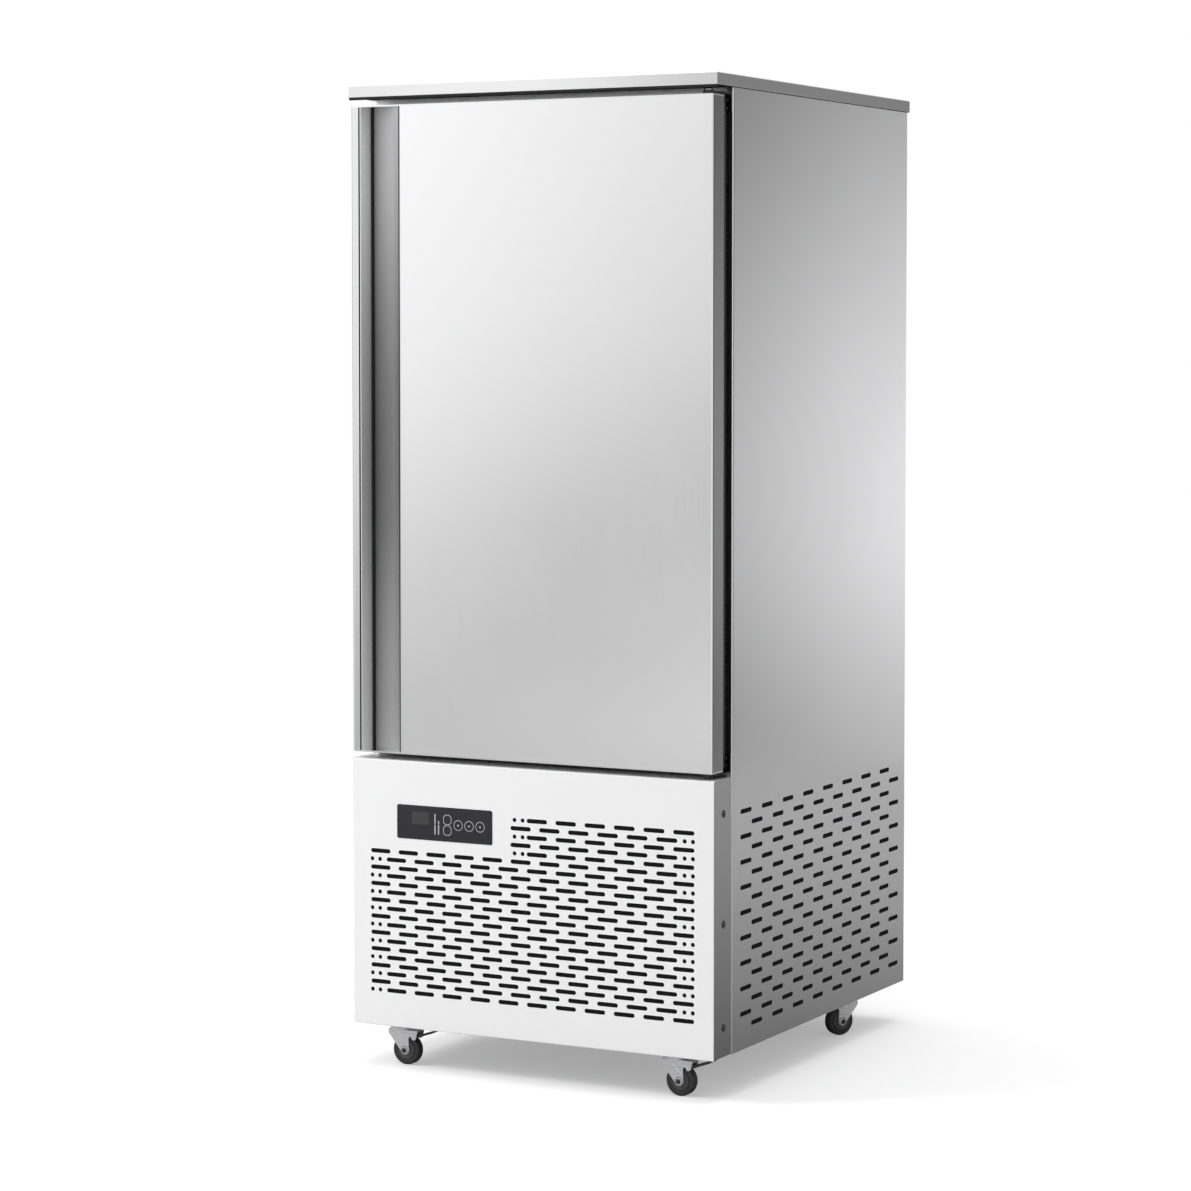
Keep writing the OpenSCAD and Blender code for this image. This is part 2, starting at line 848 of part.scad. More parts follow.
// Inner walls of the chamber, open at the front
module chamber_liner() {
  outer = [
    [-cham_x - liner_t, frame_y + frame_return, 0],
    [cham_x + liner_t, frame_y + frame_return, 0],
    [cham_x + liner_t, cham_y1 + liner_t, liner_r + liner_t],
    [-cham_x - liner_t, cham_y1 + liner_t, liner_r + liner_t]
  ];
  color("silver")
    difference() {
      upright(cham_z0 - liner_t, cham_z1 + liner_t) polygon(outline(outer));
      intersection() {
        upright(cham_z0, cham_z1) polygon(outline(inset(outer, liner_t)));
        block(
          [-cham_x, frame_y, cham_z0 - cut],
          [cham_x, cham_y1 + cut, cham_z1 + cut]
        );
      }
      block(
        [-cham_x, frame_y, cham_z0],
        [cham_x, frame_y + frame_return + 2 * liner_t, cham_z1]
      );
      deck_holes();
    }
}

// ---- lower front panel ----

// A row of slots that ends in two dots; side is +1 with the dots on the left
module slot_row(first_x, count, side, dots) {
  for (i = [0 : count - 1]) translate([side * (first_x + slot_px * i), 0]) slot(slot_l, slot_d);
  for (d = dots) translate([side * (first_x - d), 0]) circle(d = slot_d);
}

module front_slots() {
  for (j = [0 : slot_rows + slot_short_rows - 1])
    translate([0, skirt_z + slot_z0 + slot_pz * j]) {
      wide = j < slot_rows || j % 2 == 1;
      slot_row(
        wide ? slot_shift - slot_half : short_x,
        j < slot_rows ? slot_cols : slot_short_cols,
        j % 2 == 1 ? -1 : 1,
        wide ? dot_px : dot_short
      );
    }
}

// Dark mats behind the slots of the front and the two sides
module vent_filters() {
  half = slot_half - slot_shift + dot_px[1] + slot_d / 2 + mat_edge;
  low = skirt_z + slot_z0 - slot_d / 2 - mat_edge;
  full_h = slot_pz * (slot_rows - 1) + slot_d + 2 * mat_edge;
  side_half = vent_l / 2 + mat_edge;
  side_z = skirt_z + vent_z0 - vent_d / 2 - mat_edge;
  color("black") {
    across(front_in, front_in + mat_t) {
      translate([-half, low]) square([2 * half, full_h]);
      translate([short_x0 - mat_edge, low])
        square([half - short_x0 + mat_edge, full_h + slot_pz * slot_short_rows]);
    }
    for (x = [-in_x, in_x - mat_t])
      block(
        [x, front_y + vent_y0 - side_half, side_z],
        [
          x + mat_t,
          front_y + vent_y0 + vent_py * (vent_cols - 1 + vent_shift) + side_half,
          side_z + vent_pz * (vent_rows - 0.5) + vent_d + 2 * mat_edge
        ]
      );
  }
}

// Places of the panel screws, each pointing into the cabinet
module panel_screw_places() {
  for (s = [-1, 1], z = screw_zs)
    translate([s * hx, front_y + screw_set, skirt_z + z])
      rotate([0, -s * 90, 0])
        children();
}

ctrl_x0 = short_x0 - ctrl_gap - ctrl_w;
ctrl_z0 = skirt_z + ctrl_z;
ctrl_mid = ctrl_z0 + ctrl_h / 2;

module ctrl_outline(grow) {
  rounded(
    [ctrl_x0 - grow, ctrl_z0 - grow],
    [ctrl_x0 + ctrl_w + grow, ctrl_z0 + ctrl_h + grow],
    ctrl_r + grow
  );
}

module front_grille_panel() {
  color("whitesmoke")
    difference() {
      intersection() {
        upright(skirt_z, grille_z1)
          polygon(outline([
            [-hx, front_y, bend_r],
            [hx, front_y, bend_r],
            [hx, frame_y - cut, 0],
            [-hx, frame_y - cut, 0]
          ]));
        along(-hx, hx)
          polygon(outline([
            [front_y, skirt_z, bend_r],
            [frame_y - cut, skirt_z, 0],
            [frame_y - cut, grille_z1, 0],
            [front_y, grille_z1, bend_r]
          ]));
      }
      block(
        [-in_x, front_in, skirt_z + sheet_t],
        [in_x, frame_y, grille_z1 - sheet_t]
      );
      for (s = [-1, 1])
        translate([s * hx, (front_y + flange_d + frame_y) / 2, (skirt_z + grille_z1) / 2])
          cube([2 * bend_r, frame_y - front_y - flange_d, 2 * grille_h], center = true);
      block(
        [-hx - cut, front_y + foot_flange_d, skirt_z - cut],
        [hx + cut, frame_y + cut, skirt_z + sheet_t + cut / 2]
      );
      across(front_y - cut, front_in + cut) {
        front_slots();
        ctrl_outline(loose);
      }
      panel_screw_places() cylinder(r = screw_r + loose, h = 2 * bend_r, center = true);
    }
}

module panel_screws() {
  color("silver")
    panel_screw_places() {
      cylinder(r = screw_r, h = screw_l);
      difference() {
        translate([0, 0, -screw_head_h])
          cylinder(r1 = screw_head_r * 0.6, r2 = screw_head_r, h = screw_head_h);
        translate([0, 0, -screw_head_h - cut])
          cylinder(r = screw_r * 0.7, h = cut + screw_head_h / 2, $fn = 6);
      }
    }
}

// ---- controller ----

module button_places() {
  for (i = [-1 : 1])
    translate([ctrl_x0 + button_x + i * button_px, 0, ctrl_mid])
      children();
}

module disc_y(y0, y1, r) {
  translate([0, y0, 0]) rotate([-90, 0, 0]) cylinder(r = r, h = y1 - y0);
}

module controller_face() {
  color("black")
    difference() {
      across(front_y - ctrl_proud, front_y - ctrl_proud + ctrl_face_t) ctrl_outline(0);
      button_places() disc_y(front_y - cut, front_y + ctrl_face_t + cut, button_r + loose);
    }
}

module controller_housing() {
  face_back = front_y - ctrl_proud + ctrl_face_t;
  flange = 7;
  color("dimgray")
    difference() {
      union() {
        across(front_in, face_back + sheet_t) ctrl_outline(flange);
        across(face_back, front_y + ctrl_depth) ctrl_outline(-ctrl_r / 2);
      }
      across(front_y, face_back) ctrl_outline(loose);
      button_places() {
        disc_y(front_y, front_y + button_t + button_travel, button_r + loose);
        disc_y(
          front_y,
          front_y + button_t + button_stem_l + 2 * button_travel,
          button_stem_r + loose
        );
      }
    }
}

module button(i) {
  color("dimgray")
    translate([ctrl_x0 + button_x + i * button_px, 0, ctrl_mid]) {
      disc_y(front_y - button_proud, front_y - button_proud + button_t, button_r);
      disc_y(front_y, front_y - button_proud + button_t + button_stem_l, button_stem_r);
    }
}

module button_left() { button(-1); }
module button_middle() { button(0); }
module button_right() { button(1); }

// ---- door ----

// Small bends of the door's sheet
lip_r = 0.6;
channel_r = 2;
channel_edge_r = 1;
door_back_r = 1.5;
skin_y = front_y + skin_d;

// Plan of the door with the handle channel cut into its free side
function door_plan() = [
  [door_x0, front_y, door_free_r],
  [door_x0 + lip_w, front_y, lip_r],
  [door_x0 + lip_w - handle_lean, front_y + handle_d, channel_r],
  [door_x0 + handle_w, front_y, channel_edge_r],
  [door_x1, front_y, door_hinge_r],
  [door_x1, skin_y, door_back_r],
  [door_x0, skin_y, door_back_r]
];
groove_x1 = door_x0 + lip_w - lip_groove_in;
groove_x0 = groove_x1 - lip_groove_w;
door_in_z0 = door_z0 + door_cap_t;
door_in_z1 = door_z1 - door_cap_t;

// The joint groove and the metal round it
module lip_joint(grow) {
  translate([groove_x0 - grow, front_y - cut])
    square([lip_groove_w + 2 * grow, lip_groove_d + cut + grow]);
}

module lip_metal() {
  intersection() {
    polygon(outline(door_plan()));
    translate([groove_x0 - door_skin_t, front_y - cut])
      square([handle_w / 2, lip_groove_d + cut + door_skin_t]);
  }
}

module door_skin() {
  color("gainsboro")
    upright(door_in_z0, door_in_z1)
      difference() {
        union() {
          difference() {
            polygon(outline(door_plan()));
            polygon(outline(inset(door_plan(), door_skin_t)));
            translate([door_x0 + door_return, skin_y - door_skin_t - cut / 2])
              square([door_x1 - door_x0 - 2 * door_return, cut + door_skin_t]);
          }
          lip_metal();
        }
        lip_joint(0);
      }
}

// Outline of the inner rim, shrunk
module rim_outline(by) {
  rounded(
    [door_x0 + rim_in + by, door_z0 + rim_in + by],
    [door_x1 - rim_in - by, door_z1 - rim_in - by],
    bend_r
  );
}

panel_y = door_back - 2 * door_skin_t;

module door_foam() {
  color("khaki")
    difference() {
      union() {
        upright(door_in_z0, door_in_z1)
          difference() {
            intersection() {
              polygon(outline(inset(door_plan(), door_skin_t)));
              translate([door_x0, front_y])
                square([door_x1 - door_x0, skin_d - door_skin_t]);
            }
            lip_metal();
          }
        block(
          [door_x0 + door_return, skin_y - door_skin_t, door_in_z0],
          [door_x1 - door_return, skin_y, door_in_z1]
        );
        across(skin_y, panel_y) rim_outline(rim_t);
      }
      bush_bores();
    }
}

module bush_bores() {
  for (z = [door_z0 - cut, door_z1 - door_cap_t - pin_len])
    translate([pivot_x, pivot_y, z])
      cylinder(r = bush_r + fit, h = door_cap_t + pin_len + cut);
}

module door_end_caps() {
  plan = [for (i = [0, 4, 5, 6]) door_plan()[i]];
  color("silver")
    difference() {
      for (z = [door_z0, door_in_z1]) upright(z, z + door_cap_t) polygon(outline(plan));
      bush_bores();
    }
}

gasket_x = cham_x + gasket_out;
gasket_z0 = cham_z0 - gasket_out;
gasket_z1 = cham_z1 + gasket_out;

module gasket_outline(by) {
  rounded([-gasket_x + by, gasket_z0 + by], [gasket_x - by, gasket_z1 - by], gasket_r);
}

module gasket_ring(y0, y1, w) {
  by = (gasket_w - w) / 2;
  across(y0, y1)
    difference() {
      gasket_outline(by);
      gasket_outline(by + w);
    }
}

module door_gasket() {
  y0 = panel_y + door_skin_t;
  y1 = frame_y - loose;
  color("black") {
    gasket_ring(y0, y0 + gasket_foot_t, gasket_w);
    gasket_ring(y0, y1, gasket_neck);
    gasket_ring(y1 - gasket_head_t, y1, gasket_head);
  }
}

// Sheet behind the gasket with a raised field, and the rim round the door's back
module door_inner_panel() {
  y1 = panel_y + door_skin_t;
  margin = gasket_w + gasket_neck;
  color("silver")
    difference() {
      union() {
        across(skin_y, y1) rim_outline(0);
        across(panel_y, y1 + door_field_h)
          rounded(
            [-gasket_x + margin, gasket_z0 + margin],
            [gasket_x - margin, gasket_z1 - margin],
            door_field_r
          );
      }
      across(skin_y - cut, panel_y) rim_outline(rim_t);
      across(panel_y - cut, y1 + door_field_h - door_skin_t)
        rounded(
          [-gasket_x + margin + door_skin_t, gasket_z0 + margin + door_skin_t],
          [gasket_x - margin - door_skin_t, gasket_z1 - margin - door_skin_t],
          door_field_r - door_skin_t
        );
    }
}

// ---- hinges ----

leg_x1 = hx - 3;
leg_x0 = leg_x1 - hinge_leg_w;

// One hinge as at the door's lower end: arm, leg on the frame and the pin upwards from z
module hinge(z) {
  translate([0, 0, z - bush_flange_t - loose - hinge_t]) {
    linear_extrude(hinge_t)
      polygon(outline([
        [pivot_x - hinge_arm_r, pivot_y - hinge_arm_r, hinge_arm_r * 0.9],
        [pivot_x + hinge_arm_r, pivot_y - hinge_arm_r, hinge_arm_r * 0.7],
        [leg_x1, pivot_y + hinge_arm_r, 6],
        [leg_x1, frame_y, 0],
        [leg_x0, frame_y, 0],
        [pivot_x - hinge_arm_r, pivot_y + hinge_arm_r, 8]
      ]));
    difference() {
      block([leg_x0, frame_y - hinge_t, 0], [leg_x1, frame_y, hinge_leg_h]);
      for (k = [0.4, 0.8])
        translate([(leg_x0 + leg_x1) / 2, frame_y - hinge_t, hinge_leg_h * k])
          rotate([-90, 0, 0])
            cylinder(r1 = 5, r2 = 3, h = hinge_t);
    }
    translate([pivot_x, pivot_y, -pin_head_t]) {
      cylinder(r = pin_head_r, h = pin_head_t);
      cylinder(r = pin_r, h = pin_head_t + hinge_t + bush_flange_t + pin_len);
    }
  }
}

// A piece of the door's lower end, and the same upside down at the other end
module both_ends() {
  children();
  translate([0, 0, door_z0 + door_z1]) mirror([0, 0, 1]) children();
}

module hinge_brackets() {
  color("silver") both_ends() hinge(door_z0);
}

module hinge_bushes() {
  color("ivory")
    both_ends()
      translate([pivot_x, pivot_y, door_z0])
        difference() {
          union() {
            cylinder(r = bush_r, h = pin_len + cut);
            translate([0, 0, -bush_flange_t])
              cylinder(r = bush_flange_r, h = bush_flange_t);
          }
          translate([0, 0, -bush_flange_t - cut])
            cylinder(r = pin_r + fit, h = pin_len + bush_flange_t + 3 * cut);
        }
}

// ---- tray rack ----

rack_ys = [frame_y + rack_front, frame_y + rack_front + ledge_len - upright_w];
rack_z0 = cham_z0;
rack_z1 = cham_z0 + level_first + level_pitch * levels;

function level_z(i) = cham_z0 + level_first + level_pitch * i;

module rack_uprights() {
  color("silver")
    for (s = [-1, 1], y = rack_ys)
      scale([s, 1, 1])
        difference() {
          upright(rack_z0, rack_z1)
            polygon(folded([
              [cham_x, y + upright_w, 0],
              [rack_x, y + upright_w, bend_r],
              [rack_x, y, bend_r],
              [cham_x, y, 0]
            ], rack_t));
          along(rack_x - cut, rack_x + rack_t + cut)
            for (i = [0 : levels - 1])
              translate([y + upright_w / 2, level_z(i) - hook_slot])
                rotate(90)
                  slot(hook_slot, hook_slot_w);
        }
}

// One ledge: a flat for the tray, with an edge down along the uprights
module tray_runners() {
  color("lightgray")
    for (s = [-1, 1], i = [0 : levels - 1])
      scale([s, 1, 1])
        across(rack_ys[0], rack_ys[0] + ledge_len)
          translate([rack_x, level_z(i)])
            polygon(folded([
              [0, -ledge_web, 0],
              [0, 0, rack_t + 0.5],
              [-ledge_w, 0, 0]
            ], rack_t));
}

// ---- evaporator ----

// Tabs that hold the fan plate to the chamber's side walls
plate_tab_h = 40;
plate_tab_zs = [plate_z0 + plate_tab_h, cham_mid, plate_z1 - 2 * plate_tab_h];

function fan_z(i) = (plate_z0 + plate_z1) / 2 + fan_pitch * i;
orifice_r = fan_d / 2 + fan_gap;

module fan_plate() {
  color("silver")
    difference() {
      union() {
        upright(plate_z0, plate_z1)
          polygon(folded([
            [plate_hx, plate_y + plate_edge, 0],
            [plate_hx, plate_y, bend_r],
            [-plate_hx, plate_y, bend_r],
            [-plate_hx, plate_y + plate_edge, 0]
          ], -plate_sheet));
        for (i = [-1 : 1])
          translate([0, plate_y, fan_z(i)])
            rotate([-90, 0, 0])
              cylinder(r = orifice_r + plate_sheet, h = inlet_d);
        for (z = [plate_z0, plate_z1 - plate_sheet])
          block(
            [-plate_hx + plate_sheet, plate_y + plate_sheet / 2, z],
            [plate_hx - plate_sheet, plate_y + plate_edge, z + plate_sheet]
          );
        for (s = [0, 1], z = plate_tab_zs)
          mirror([s, 0, 0])
            block(
              [plate_hx - plate_sheet, plate_y + plate_edge - plate_sheet, z],
              [cham_x, plate_y + plate_edge, z + plate_tab_h]
            );
      }
      for (i = [-1 : 1])
        translate([0, 0, fan_z(i)])
          disc_y(plate_y - cut, plate_y + inlet_d + cut, orifice_r);
    }
}

// Guard in front of each fan: rings on four bars, with legs to the plate
module fan_guards() {
  rings = floor((orifice_r - guard_pitch / 2) / guard_pitch);
  leg_r = orifice_r + plate_sheet + guard_wire * 2;
  color("silver")
    for (i = [-1 : 1])
      translate([0, plate_y - guard_off, fan_z(i)])
        rotate([-90, 0, 0]) {
          linear_extrude(guard_wire) {
            circle(r = guard_pitch);
            for (k = [1 : rings])
              difference() {
                circle(r = guard_pitch * (k + 0.5) + guard_wire / 2);
                circle(r = guard_pitch * (k + 0.5) - guard_wire / 2);
              }
            for (a = [45, 135]) rotate(a) square([2 * leg_r, guard_wire], center = true);
            for (a = [45 : 90 : 315]) rotate(a) translate([leg_r, 0]) circle(r = guard_wire);
          }
          for (a = [45 : 90 : 315])
            rotate(a) translate([leg_r, 0, 0]) cylinder(r = guard_wire, h = guard_off);
        }
}

// Blades of a fan: number, tilt, thickness, and their outline in shares of the hub's diameter at
// the root and of the fan's radius at the tip
fan_blades = 5;
blade_tilt = 24;
blade_t = 2;
blade_root = [[0.36, 0.24], [0.36, -0.2]];
blade_tip = [[1.02, -0.42], [1.1, 0], [0.98, 0.34]];
blade_tip_r = 0.12;

// Axial fan about Z: a cup hub and tilted blades with swept tips
module axial_fan(d, hub_d, h) {
  r = d / 2;
  bore_r = shaft_r + fit;
  difference() {
    union() {
      cylinder(r = hub_d / 2, h = h, center = true);
      for (k = [0 : fan_blades - 1])
        rotate(360 / fan_blades * k)
          intersection() {
            difference() {
              cylinder(r = r, h = h, center = true);
              cylinder(r = hub_d / 2 - 1.5 * blade_t, h = 2 * h, center = true);
            }
            rotate([blade_tilt, 0, 0])
              linear_extrude(blade_t, center = true)
                polygon(outline([
                  concat(blade_root[1] * hub_d, 0),
                  concat(blade_tip[0] * r, 0),
                  concat(blade_tip[1] * r, 0),
                  concat(blade_tip[2] * r, blade_tip_r * r),
                  concat(blade_root[0] * hub_d, 0)
                ]));
          }
    }
    cylinder(r = bore_r, h = 2 * h, center = true);
    translate([0, 0, 1.5 * blade_t - h / 2])
      difference() {
        cylinder(r = hub_d / 2 - blade_t, h = h);
        cylinder(r = bore_r + 2 * blade_t, h = 2 * h, center = true);
      }
  }
}

module evaporator_fan(i) {
  color("darkgray")
    translate([0, fan_y, fan_z(i)])
      rotate([-90, 0, 0])
        axial_fan(fan_d, fan_hub_d, fan_h);
}

module evaporator_fan_low() { evaporator_fan(-1); }
module evaporator_fan_mid() { evaporator_fan(0); }
module evaporator_fan_high() { evaporator_fan(1); }

// Motors: gap to the fan, bend of the can, arms and their reach past the inlet ring
motor_gap = 3;
motor_r = 6;
arm_w = 12;
arm_t = 2.5;
arm_y = 4;
arm_sink = 4;
arm_reach = 14;
motor_y = fan_y + fan_h / 2 + motor_gap;

// Motor with its shaft forwards along -Y and three arms to the given radius
module motor(d, l, shaft, arm_r, arm_y0) {
  rotate([-90, 0, 0])
    rotate_extrude()
      polygon(outline([[0, 0, 0], [d / 2, 0, motor_r], [d / 2, l, motor_r], [0, l, 0]]));
  disc_y(-shaft, 0, shaft_r);
  for (a = [30, 150, 270])
    rotate([0, a, 0]) {
      block([d / 2 - arm_sink, arm_y, -arm_w / 2], [arm_r, arm_y + arm_t, arm_w / 2]);
      block([arm_r - arm_t, arm_y0, -arm_w / 2], [arm_r, arm_y + arm_t, arm_w / 2]);
    }
}

module fan_motors() {
  color("dimgray")
    for (i = [-1 : 1])
      translate([0, motor_y, fan_z(i)])
        motor(motor_d, motor_l, fan_h, orifice_r + arm_reach, plate_y + plate_sheet - motor_y);
}

// Comb section of a fin block, w wide and d deep: fins of thickness t on both sides of a web
function comb(w, d, wanted, t, web) =
  let (
    n = floor(w / wanted),
    pitch = w / n,
    low = concat(
      [for (i = [0 : n - 1], p = [[0, d], [t, d], [t, web], [pitch, web]])
        [i * pitch + p[0] - w / 2, -p[1] / 2]],
      [[w / 2, -d / 2], [w / 2 + t, -d / 2]]
    )
  )
  concat(low, [for (i = [len(low) - 1 : -1 : 0]) [low[i][0], -low[i][1]]]);

// Return bends on one end of a coil, in pairs up its height
module return_bends(x, y, z0, z1, pitch, r) {
  n = floor((z1 - z0) / (2 * pitch));
  for (i = [0 : n - 1])
    translate([x, y, z0 + pitch * (2 * i + 1)])
      rotate([90, 0, 0])
        rotate(-90)
          rotate_extrude(angle = 180)
            translate([pitch / 2, 0])
              circle(r = r);
}

// Both coils: pitch of the tubes, end plates, fins and the web
coil_y = coil_y1 - coil_d / 2;
coil_pitch = 50;
cond_pitch = 40;
coil_plate = 2;
fin_t = 1.2;
coil_web = 24;
cond_web = 14;

// A fin block, its two end plates back to plate_y, and rows of return bends
module coil(w, d, wanted, web, z0, z1, plate_y, foot_z, pitch, rows) {
  half = w / 2 + 2 * coil_plate;
  upright(z0, z1) polygon(comb(w, d, wanted, fin_t, web));
  for (s = [-1, 1])
    scale([s, 1, 1]) {
      block([w / 2, -d / 2, foot_z], [half, plate_y, z1]);
      for (y = rows) return_bends(half, y, z0, z1, pitch, coil_tube_r);
    }
}

module evaporator_coil() {
  color("lightsteelblue")
    translate([0, coil_y, 0])
      coil(
        coil_w, coil_d, coil_fin_pitch, coil_web, coil_z0, coil_z1,
        cham_y1 - coil_y, coil_z0, coil_pitch, [-coil_d / 4, coil_d / 4]
      );
}

drip_side = 50;
drip_front = 12;
drip_wall = 2;
drip_x = coil_w / 2 + drip_side;
drip_y0 = coil_y - coil_d / 2 - drip_front;

// Tray under the coil
module drip_tray() {
  color("silver")
    difference() {
      block([-drip_x, drip_y0, coil_z0 - drip_h - drip_wall], [drip_x, cham_y1, coil_z0]);
      block(
        [-drip_x + drip_wall, drip_y0 + drip_wall, coil_z0 - drip_h],
        [drip_x - drip_wall, cham_y1 - drip_wall, coil_z0 + cut]
      );
    }
}

// The drain ends inside the melt-water pan and has a flange in the chamber
drain_dip = 12;
drain_flange = 8;
drain_z = floor_z + melt_h - drain_dip;

module drain_tube() {
  color("ivory")
    translate([0, frame_y + drain_set, 0])
      difference() {
        union() {
          translate([0, 0, drain_z]) cylinder(r = drain_r, h = cham_z0 - drain_z);
          translate([0, 0, cham_z0]) cylinder(r = drain_r + drain_flange, h = drip_wall);
        }
        translate([0, 0, drain_z - cut])
          cylinder(r = drain_r - drain_wall, h = cham_h);
      }
}

// ---- refrigeration unit ----

riser_x = cham_x - 28;
riser_y = coil_y;
riser_z = coil_z0 + coil_pitch * 2;
pipe_bend = 22;
suction_z = comp_h * 0.65;
suction_stub = 12;
// Compressor can: its base, shoulders and weld seam
can_base = 12;
can_low = 40;
can_top = 60;
can_seam = 6;
can_seam_out = 3;
can_inner = comp_r * 0.8;
// Foot plate, and the terminal box on the can's side
foot_plate_z = 6;
foot_plate_t = 8;
foot_plate_r = 18;
term_w = 80;
term_d = 34;
term_h = 100;
term_z = 90;

module compressor() {
  color("black")
    translate([comp_x, comp_y, comp_z]) {
      rotate_extrude()
        polygon(outline([
          [0, can_base, 0],
          [can_inner, can_base, 10],
          [comp_r, can_low, 12],
          [comp_r, comp_h - can_top, 40],
          [comp_r * 0.6, comp_h, 24],
          [0, comp_h, 0]
        ]));
      translate([0, 0, comp_h / 2]) cylinder(r = comp_r + can_seam_out, h = can_seam);
      difference() {
        upright(foot_plate_z, foot_plate_z + foot_plate_t)
          rounded([-comp_r, -comp_r], [comp_r, comp_r], foot_plate_r);
        for (sx = [-1, 1], sy = [-1, 1])
          translate([sx * can_inner, sy * can_inner, 0])
            cylinder(r = foot_neck_r + loose, h = comp_feet_h);
      }
      block(
        [-comp_r - term_d, -term_w / 2, term_z],
        [-can_inner, term_w / 2, term_z + term_h]
      );
      translate([can_inner, 0, suction_z])
        rotate([0, 90, 0])
          cylinder(r = suction_r + 2, h = comp_r - can_inner + suction_stub);
    }
}

// Rubber feet: bolt hole, foot, neck through the plate, and bead above it
foot_bolt_r = 3;
foot_r = 15;
foot_neck_r = 8.7;
foot_bead_r = 13;

module compressor_feet() {
  low = comp_feet_h + foot_plate_z;
  high = low + foot_plate_t;
  color("black")
    for (sx = [-1, 1], sy = [-1, 1])
      translate([comp_x + sx * can_inner, comp_y + sy * can_inner, floor_z])
        rotate_extrude()
          polygon([
            [foot_bolt_r, 0], [foot_r, 0], [foot_r, low], [foot_neck_r, low],
            [foot_neck_r, high], [foot_bead_r, high], [foot_bead_r - 2, high + 4],
            [foot_bolt_r, high + 4]
          ]);
}

module condenser_coil() {
  color("darkslategray")
    translate([cond_x, (cond_y0 + cond_y1) / 2, 0])
      coil(
        2 * cond_half - 4 * coil_plate, cond_d, cond_fin_pitch, cond_web, cond_z0, cond_z0 + cond_h,
        cond_d / 2, floor_z, cond_pitch, [0]
      );
}

cond_orifice = cond_fan_d / 2 + fan_gap;

module condenser_shroud() {
  color("lightgray")
    difference() {
      block(
        [cond_x - cond_half, cond_y1, floor_z],
        [cond_x + cond_half, cond_y1 + shroud_d, cond_z0 + cond_h]
      );
      block(
        [cond_x - cond_half + sheet_t, cond_y1 - cut, floor_z + sheet_t],
        [cond_x + cond_half - sheet_t, cond_y1 + shroud_d - sheet_t, cond_z0 + cond_h - sheet_t]
      );
      translate([cond_x, 0, cond_mid])
        disc_y(cond_y1, cond_y1 + shroud_d + cut, cond_orifice);
    }
}

module condenser_fan() {
  color("dimgray")
    translate([cond_x, cond_fan_y, cond_mid])
      rotate([-90, 0, 0])
        axial_fan(cond_fan_d, cond_hub_d, cond_fan_h);
}

module condenser_motor() {
  y = cond_fan_y + cond_fan_h / 2 + motor_gap;
  color("dimgray")
    translate([cond_x, y, cond_mid])
      motor(cond_motor_d, cond_motor_l, cond_fan_h, cond_orifice + arm_reach, cond_fan_y - y);
}

// Receiver: its place beside the condenser, its ends and its base ring
recv_side = 42;
recv_y = 60;
recv_base = 20;
vessel_end = 22;
recv_ring_t = 2;
recv_x = cond_x - cond_half - recv_side;
recv_z = floor_z + recv_base;

module liquid_receiver() {
  color("black")
    translate([recv_x, recv_y, recv_z]) {
      rotate_extrude()
        polygon(outline([
          [0, 0, 0],
          [recv_r * 0.7, 0, 10],
          [recv_r, vessel_end, 14],
          [recv_r, recv_h - vessel_end, 14],
          [recv_r * 0.7, recv_h, 10],
          [0, recv_h, 0]
        ]));
      difference() {
        translate([0, 0, -recv_base]) cylinder(r = recv_r * 0.75, h = 1.5 * recv_base);
        translate([0, 0, -recv_base - cut])
          cylinder(r = recv_r * 0.75 - recv_ring_t, h = recv_base - cut);
      }
    }
}

// Drier: beside the receiver and behind its axis, hung from a pipe
drier_side = 90;
drier_back = 24;
drier_drop = 80;
drier_x = recv_x - drier_side;
drier_y = recv_y + drier_back;
drier_z = recv_z + recv_h - drier_drop;

module filter_drier() {
  color("darkgoldenrod")
    translate([drier_x, drier_y, drier_z])
      rotate_extrude()
        polygon(outline([
          [0, 0, 0],
          [liquid_r + 2, 0, 0],
          [drier_r, vessel_end, 6],
          [drier_r, drier_l - vessel_end, 6],
          [liquid_r + 2, drier_l, 0],
          [0, drier_l, 0]
        ]));
}

// Pipe runs: rise over the compressor, and over or under the vessels
pipe_rise = 60;
pipe_over = 50;

